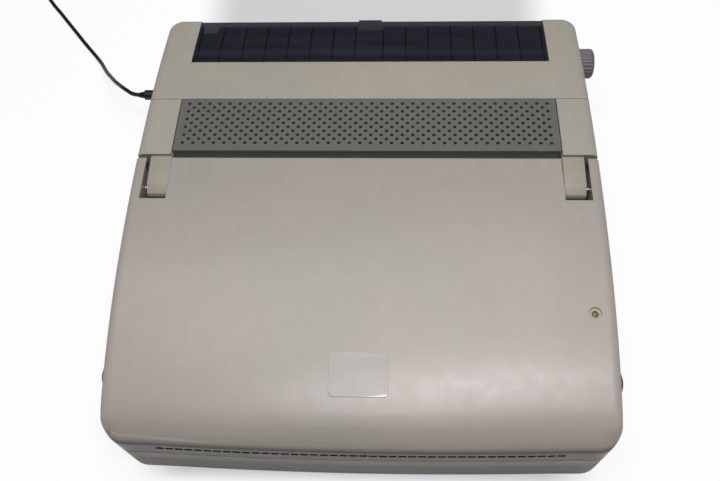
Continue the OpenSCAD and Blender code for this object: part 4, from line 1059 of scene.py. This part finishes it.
def plate_material():
    s = Surface("bare_plate")
    c = linear((171, 170, 162))
    s.to("Base Color", s.ramp(s.noise(40.0, 4.0, 0.6), [
        (0.3, shift_colour(c, 0.93, -0.01)), (0.7, shift_colour(c, 1.04, 0.01))]))
    s.to("Roughness", s.math("ADD", s.math("MULTIPLY", s.noise(
        900.0, 3.0, 0.7, stretch=(0.06, 1, 1)), 0.2), 0.26))
    s.shader.inputs["Coat Weight"].default_value = 0.25
    s.bump(s.noise(1600.0, 2.0, 0.6, stretch=(0.06, 1, 1)), 0.05, 0.0001, 0.0004)
    return s.mat


def screen_material():
    s = Surface("screen_glass")
    rows = s.cells(1500.0)
    s.to("Base Color", s.ramp(rows, [(0.1, linear((78, 92, 82))), (0.7, linear((94, 108, 96)))]))
    s.to("Roughness", s.math("ADD", s.math("MULTIPLY", s.noise(70.0), 0.1), 0.06))
    s.shader.inputs["Coat Weight"].default_value = 0.6
    s.bump(rows, 0.02, 0.0001)
    return s.mat


def lid_painted_light_and_scuff(s, colour, c):
    """Painted shade on the front edge, in the slits and along the joint, a painted highlight along
    the crease, and a scuff at the left
    """
    x, y, z = (s.axis(k) for k in range(3))
    near = s.band(y, FRONT - 6, FRONT - 5, FRONT + 14, FRONT + 19)

    def spot(a, b):
        return s.math("MULTIPLY", near, s.math("MULTIPLY", a, b))

    # Painted shade: the front edge below the crease is darkened to a third, with less specular,
    # standing in for the shade it lies in
    rim = s.math("MULTIPLY", near, s.band(z, 40.0, 41.0, 73.5, 79.0))
    colour = s.blend(s.math("MULTIPLY", rim, 0.8), colour, shift_colour(c, 0.3))
    s.to("Specular IOR Level", s.math("SUBTRACT", 0.5, s.math("MULTIPLY", rim, 0.4)))
    # Painted highlight: a lighter line along the crease towards the left front corner
    slope = s.math("ADD", z, s.math("MULTIPLY", 0.037, s.math("ADD", x, 0.12 - SHIFT * MM)))
    painted_crease_highlight = spot(s.band(slope, 77.0, 77.8, 78.5, 79.3),
                s.band(x, SHIFT - 191, SHIFT - 185, SHIFT - 145, SHIFT - 90))
    colour = s.blend(s.math("MULTIPLY", painted_crease_highlight, 0.55), colour, shift_colour(c, 1.35))
    scuff = spot(s.band(slope, 75.0, 77.0, 78.5, 80.0),
                 s.band(x, SHIFT - 191, SHIFT - 189.5, SHIFT - 188, SHIFT - 186.5))
    colour = s.blend(s.math("MULTIPLY", scuff, 0.7), colour, (0.26, 0.11, 0.08, 1.0))
    # Painted shade: near-black on the floors of the slits and along the joint with the case,
    # standing in for the shade in these gaps
    painted_slit_shade = s.math("MULTIPLY", s.ramp(s.up(), [(0.7, 0.0), (0.8, 1.0)]),
                        s.band(z, 60.0, 61.5, 64.0, 65.0))
    painted_gap_shade = s.math("MAXIMUM", s.math("MULTIPLY", near, painted_slit_shade),
                  s.math("MULTIPLY", near, s.band(z, 46.0, 47.0, 50.3, 51.2)))
    return s.blend(s.math("MULTIPLY", painted_gap_shade, 0.92), colour, (0.012, 0.012, 0.014, 1.0))


case = moulded("case_plastic", (175, 171, 159), rough=0.5, specular=0.3, walls=0.14)
lid_mat = moulded("lid_plastic", (171, 166, 158), rough=0.33, scuffs=0.18, specular=0.5,
                  walls=0.14, painted_light_and_marks=lid_painted_light_and_scuff)
# Painted shade: the lower case is the case's beige made slightly darker, with more painted wall
# shade, for the shade under the lid
case_plastic_shaded = moulded("base_plastic", (170, 166, 156), rough=0.55, specular=0.2, walls=0.16)
arm_mat = moulded("arm_plastic", (166, 161, 147), rough=0.42)
grille = moulded("grille_plastic", (108, 110, 104), rough=0.5, grain=0.12, speck=0.06)
knob = moulded("knob_plastic", (113, 112, 117), rough=0.38, vary=0.1)
button = moulded("button_plastic", (84, 84, 84), rough=0.4)
keys_pale = moulded("key_plastic", (196, 193, 180), rough=0.5, grain=0.16, scuffs=0.1)
keys_dark = moulded("key_plastic_dark", (128, 127, 122), rough=0.5, grain=0.16, scuffs=0.1)
black = moulded("black_plastic", (34, 34, 36), rough=0.42, vary=0.15, grain=0.1)
inner_black = moulded("carriage_plastic", (48, 48, 52), rough=0.45, vary=0.12)
lead_mat = moulded("lead_plastic", (26, 24, 23), rough=0.4, vary=0.2, grain=0.08, scuffs=0.1)
gear_mat = moulded("gear_plastic", (214, 210, 196), rough=0.45, grain=0.04)
white = moulded("white_plastic", (214, 212, 204), rough=0.4)
tape = moulded("drive_grey", (150, 149, 143), rough=0.5)
feet = rubber("black_rubber", (30, 30, 30))
roller = rubber("platen_rubber", (38, 38, 40), rough=0.6)
belt_mat = rubber("belt_rubber", (28, 28, 28), rough=0.7)
sheet_steel = metal("steel_sheet", (178, 180, 180), 0.38, (1, 12, 1))
bar_steel = metal("steel_bar", (196, 197, 199), 0.22, (30, 1, 1))
can = metal("motor_metal", (150, 150, 152), 0.36, (1, 1, 20))
fins = metal("aluminium_fins", (190, 192, 195), 0.34, (1, 1, 14))
chips = moulded("chip_black", (30, 30, 32), rough=0.5, vary=0.2, grain=0.2)
green = board("board_green", (30, 88, 58), (96, 140, 96))
brown = board("board_brown", (132, 104, 62), (176, 150, 104))
smoke = smoked()
lamp_mat = lamp_material()
plate_mat = plate_material()
screen = screen_material()

finishes = {
    "lid_shell": lid_mat, "rear_cover": case, "side_panel_left": case,
    "side_panel_right": case, "dc_lead": lead_mat, "lower_case": case_plastic_shaded,
    "rubber_feet": feet, "case_screws": bar_steel, "keyboard_deck": case,
    "hinge_arm_left": arm_mat, "hinge_arm_right": arm_mat, "vent_grille": grille,
    "paper_cover": smoke, "platen_roller": roller, "platen_shaft": bar_steel,
    "platen_gear": gear_mat, "platen_knob": knob, "feed_motor": can, "feed_pinion": gear_mat,
    "pinch_rollers": roller, "paper_pan": inner_black, "printer_frame": sheet_steel,
    "guide_rod": bar_steel, "guide_rail": sheet_steel, "carriage": inner_black,
    "print_head": fins, "ribbon_cassette": black, "carriage_motor": can,
    "drive_pulley": gear_mat, "idler_pulley": gear_mat, "drive_belt": belt_mat,
    "main_board": green, "board_chips": chips, "power_board": brown, "heat_sink": fins,
    "dc_jack": black, "power_switch": black, "floppy_drive": sheet_steel,
    "floppy_bezel": tape, "eject_button": button, "key_plate": sheet_steel,
    "key_board": green, "function_keys": keys_dark, "number_keys": keys_pale,
    "upper_keys": keys_pale, "home_keys": keys_pale, "lower_keys": keys_pale,
    "bottom_keys": keys_dark, "space_bar": keys_pale, "lid_bezel": lid_mat,
    "lid_hinge_pins": bar_steel, "power_lamp": lamp_mat, "name_plate": plate_mat,
    "lcd_panel": screen, "lcd_backlight": white, "latch_left": button,
    "latch_right": button, "dc_plug": lead_mat, "mains_adapter": black}


def dress(obj, mat):
    if not obj.data.materials:
        obj.data.materials.append(mat)
    for slot in obj.material_slots:
        slot.material = mat


stand_ins = {"lower_case": lower, "keyboard_deck": deck, "lid_bezel": bezel,
             "platen_knob": turn_knob, "hinge_arm_left": arms[0], "hinge_arm_right": arms[1],
             "latch_left": latches[0], "latch_right": latches[1], "lid_shell": lid,
             "rear_cover": rear_cover, "side_panel_left": panel_left,
             "side_panel_right": panel_right, "dc_lead": lead}
stand_ins.update(caps)
for name, mat in finishes.items():
    dress(stand_ins.get(name, nodes[name]), mat)


# Floor, light and background
FLOOR_GLOW = 0.79
WORLD_LEVEL = 0.06


def stage():
    """A pale floor with a painted shadow just in front of the case, and a world that the camera sees
    as white
    """
    bm = bmesh.new()
    n, size = 24, 6.0
    grid = [[bm.verts.new((mix(-size, size, i / n), mix(-size, size, j / n), 0.0))
             for i in range(n + 1)] for j in range(n + 1)]
    grid_faces(bm, grid)
    mesh = bpy.data.meshes.new("floor")
    bm.to_mesh(mesh)
    bm.free()
    floor = link(bpy.data.objects.new("floor", mesh))
    s = Surface("floor_white")
    s.to("Base Color", (0.24, 0.24, 0.25, 1))
    s.to("Roughness", 0.9)
    s.shader.inputs["Specular IOR Level"].default_value = 0.1
    path = s.node("ShaderNodeLightPath")
    seen = s.math("MAXIMUM", path.outputs["Is Camera Ray"],
                  s.math("MAXIMUM", path.outputs["Is Glossy Ray"],
                         path.outputs["Is Transmission Ray"]))
    s.to("Emission Color", (1.0, 1.0, 1.0, 1.0))
    # Painted shadow: the floor's glow is dimmed in a band just in front of the case
    painted_shadow_depth = s.node("ShaderNodeMapRange", [
        ("Value", s.axis(1)), ("From Min", (FRONT - 11.0) * MM), ("From Max", (FRONT + 3.0) * MM),
        ("To Min", 0.0), ("To Max", 1.0)], interpolation_type="SMOOTHSTEP")
    painted_shadow_width = s.band(s.axis(0), SHIFT - SIDE, SHIFT - SIDE + 50.0,
                    SHIFT + SIDE - 50.0, SHIFT + SIDE)
    painted_shadow = s.math("MULTIPLY", s.math("MULTIPLY", painted_shadow_depth.outputs[0], painted_shadow_width), 0.45)
    glow = s.math("MULTIPLY", s.math("SUBTRACT", 1.0, painted_shadow), FLOOR_GLOW)
    s.to("Emission Strength", s.math("MULTIPLY", seen, glow))
    dress(floor, s.mat)

    world = bpy.data.worlds.new("plain_light")
    world.use_nodes = True
    bpy.context.scene.world = world
    t = world.node_tree
    back = t.nodes["Background"]
    back.inputs["Color"].default_value = (1.0, 1.0, 1.0, 1.0)
    path = t.nodes.new("ShaderNodeLightPath")
    level = t.nodes.new("ShaderNodeMapRange")
    level.inputs["To Min"].default_value = WORLD_LEVEL
    level.inputs["To Max"].default_value = 1.0
    both = t.nodes.new("ShaderNodeMath")
    both.operation = "MAXIMUM"
    t.links.new(path.outputs["Is Camera Ray"], both.inputs[0])
    t.links.new(path.outputs["Is Transmission Ray"], both.inputs[1])
    t.links.new(both.outputs[0], level.inputs["Value"])
    t.links.new(level.outputs[0], back.inputs["Strength"])


def area(name, place, target, size, power, colour=(1, 1, 1)):
    data = bpy.data.lights.new(name, "AREA")
    data.shape = "RECTANGLE"
    data.size, data.size_y = size
    data.energy = power
    data.color = colour
    obj = link(bpy.data.objects.new(name, data))
    obj.location = place
    d = Vector(target) - Vector(place)
    obj.rotation_euler = d.to_track_quat("-Z", "Y").to_euler()
    return obj


stage()
area("ceiling", (-0.1, 0.35, 1.9), (0, 0, 0.05), (1.6, 1.0), 15.9, (0.99, 1.0, 0.96))
area("tube", (0.16, -0.42, 1.65), (0.05, -0.15, 0.08), (0.8, 0.16), 13.6, (1.0, 0.95, 1.0))
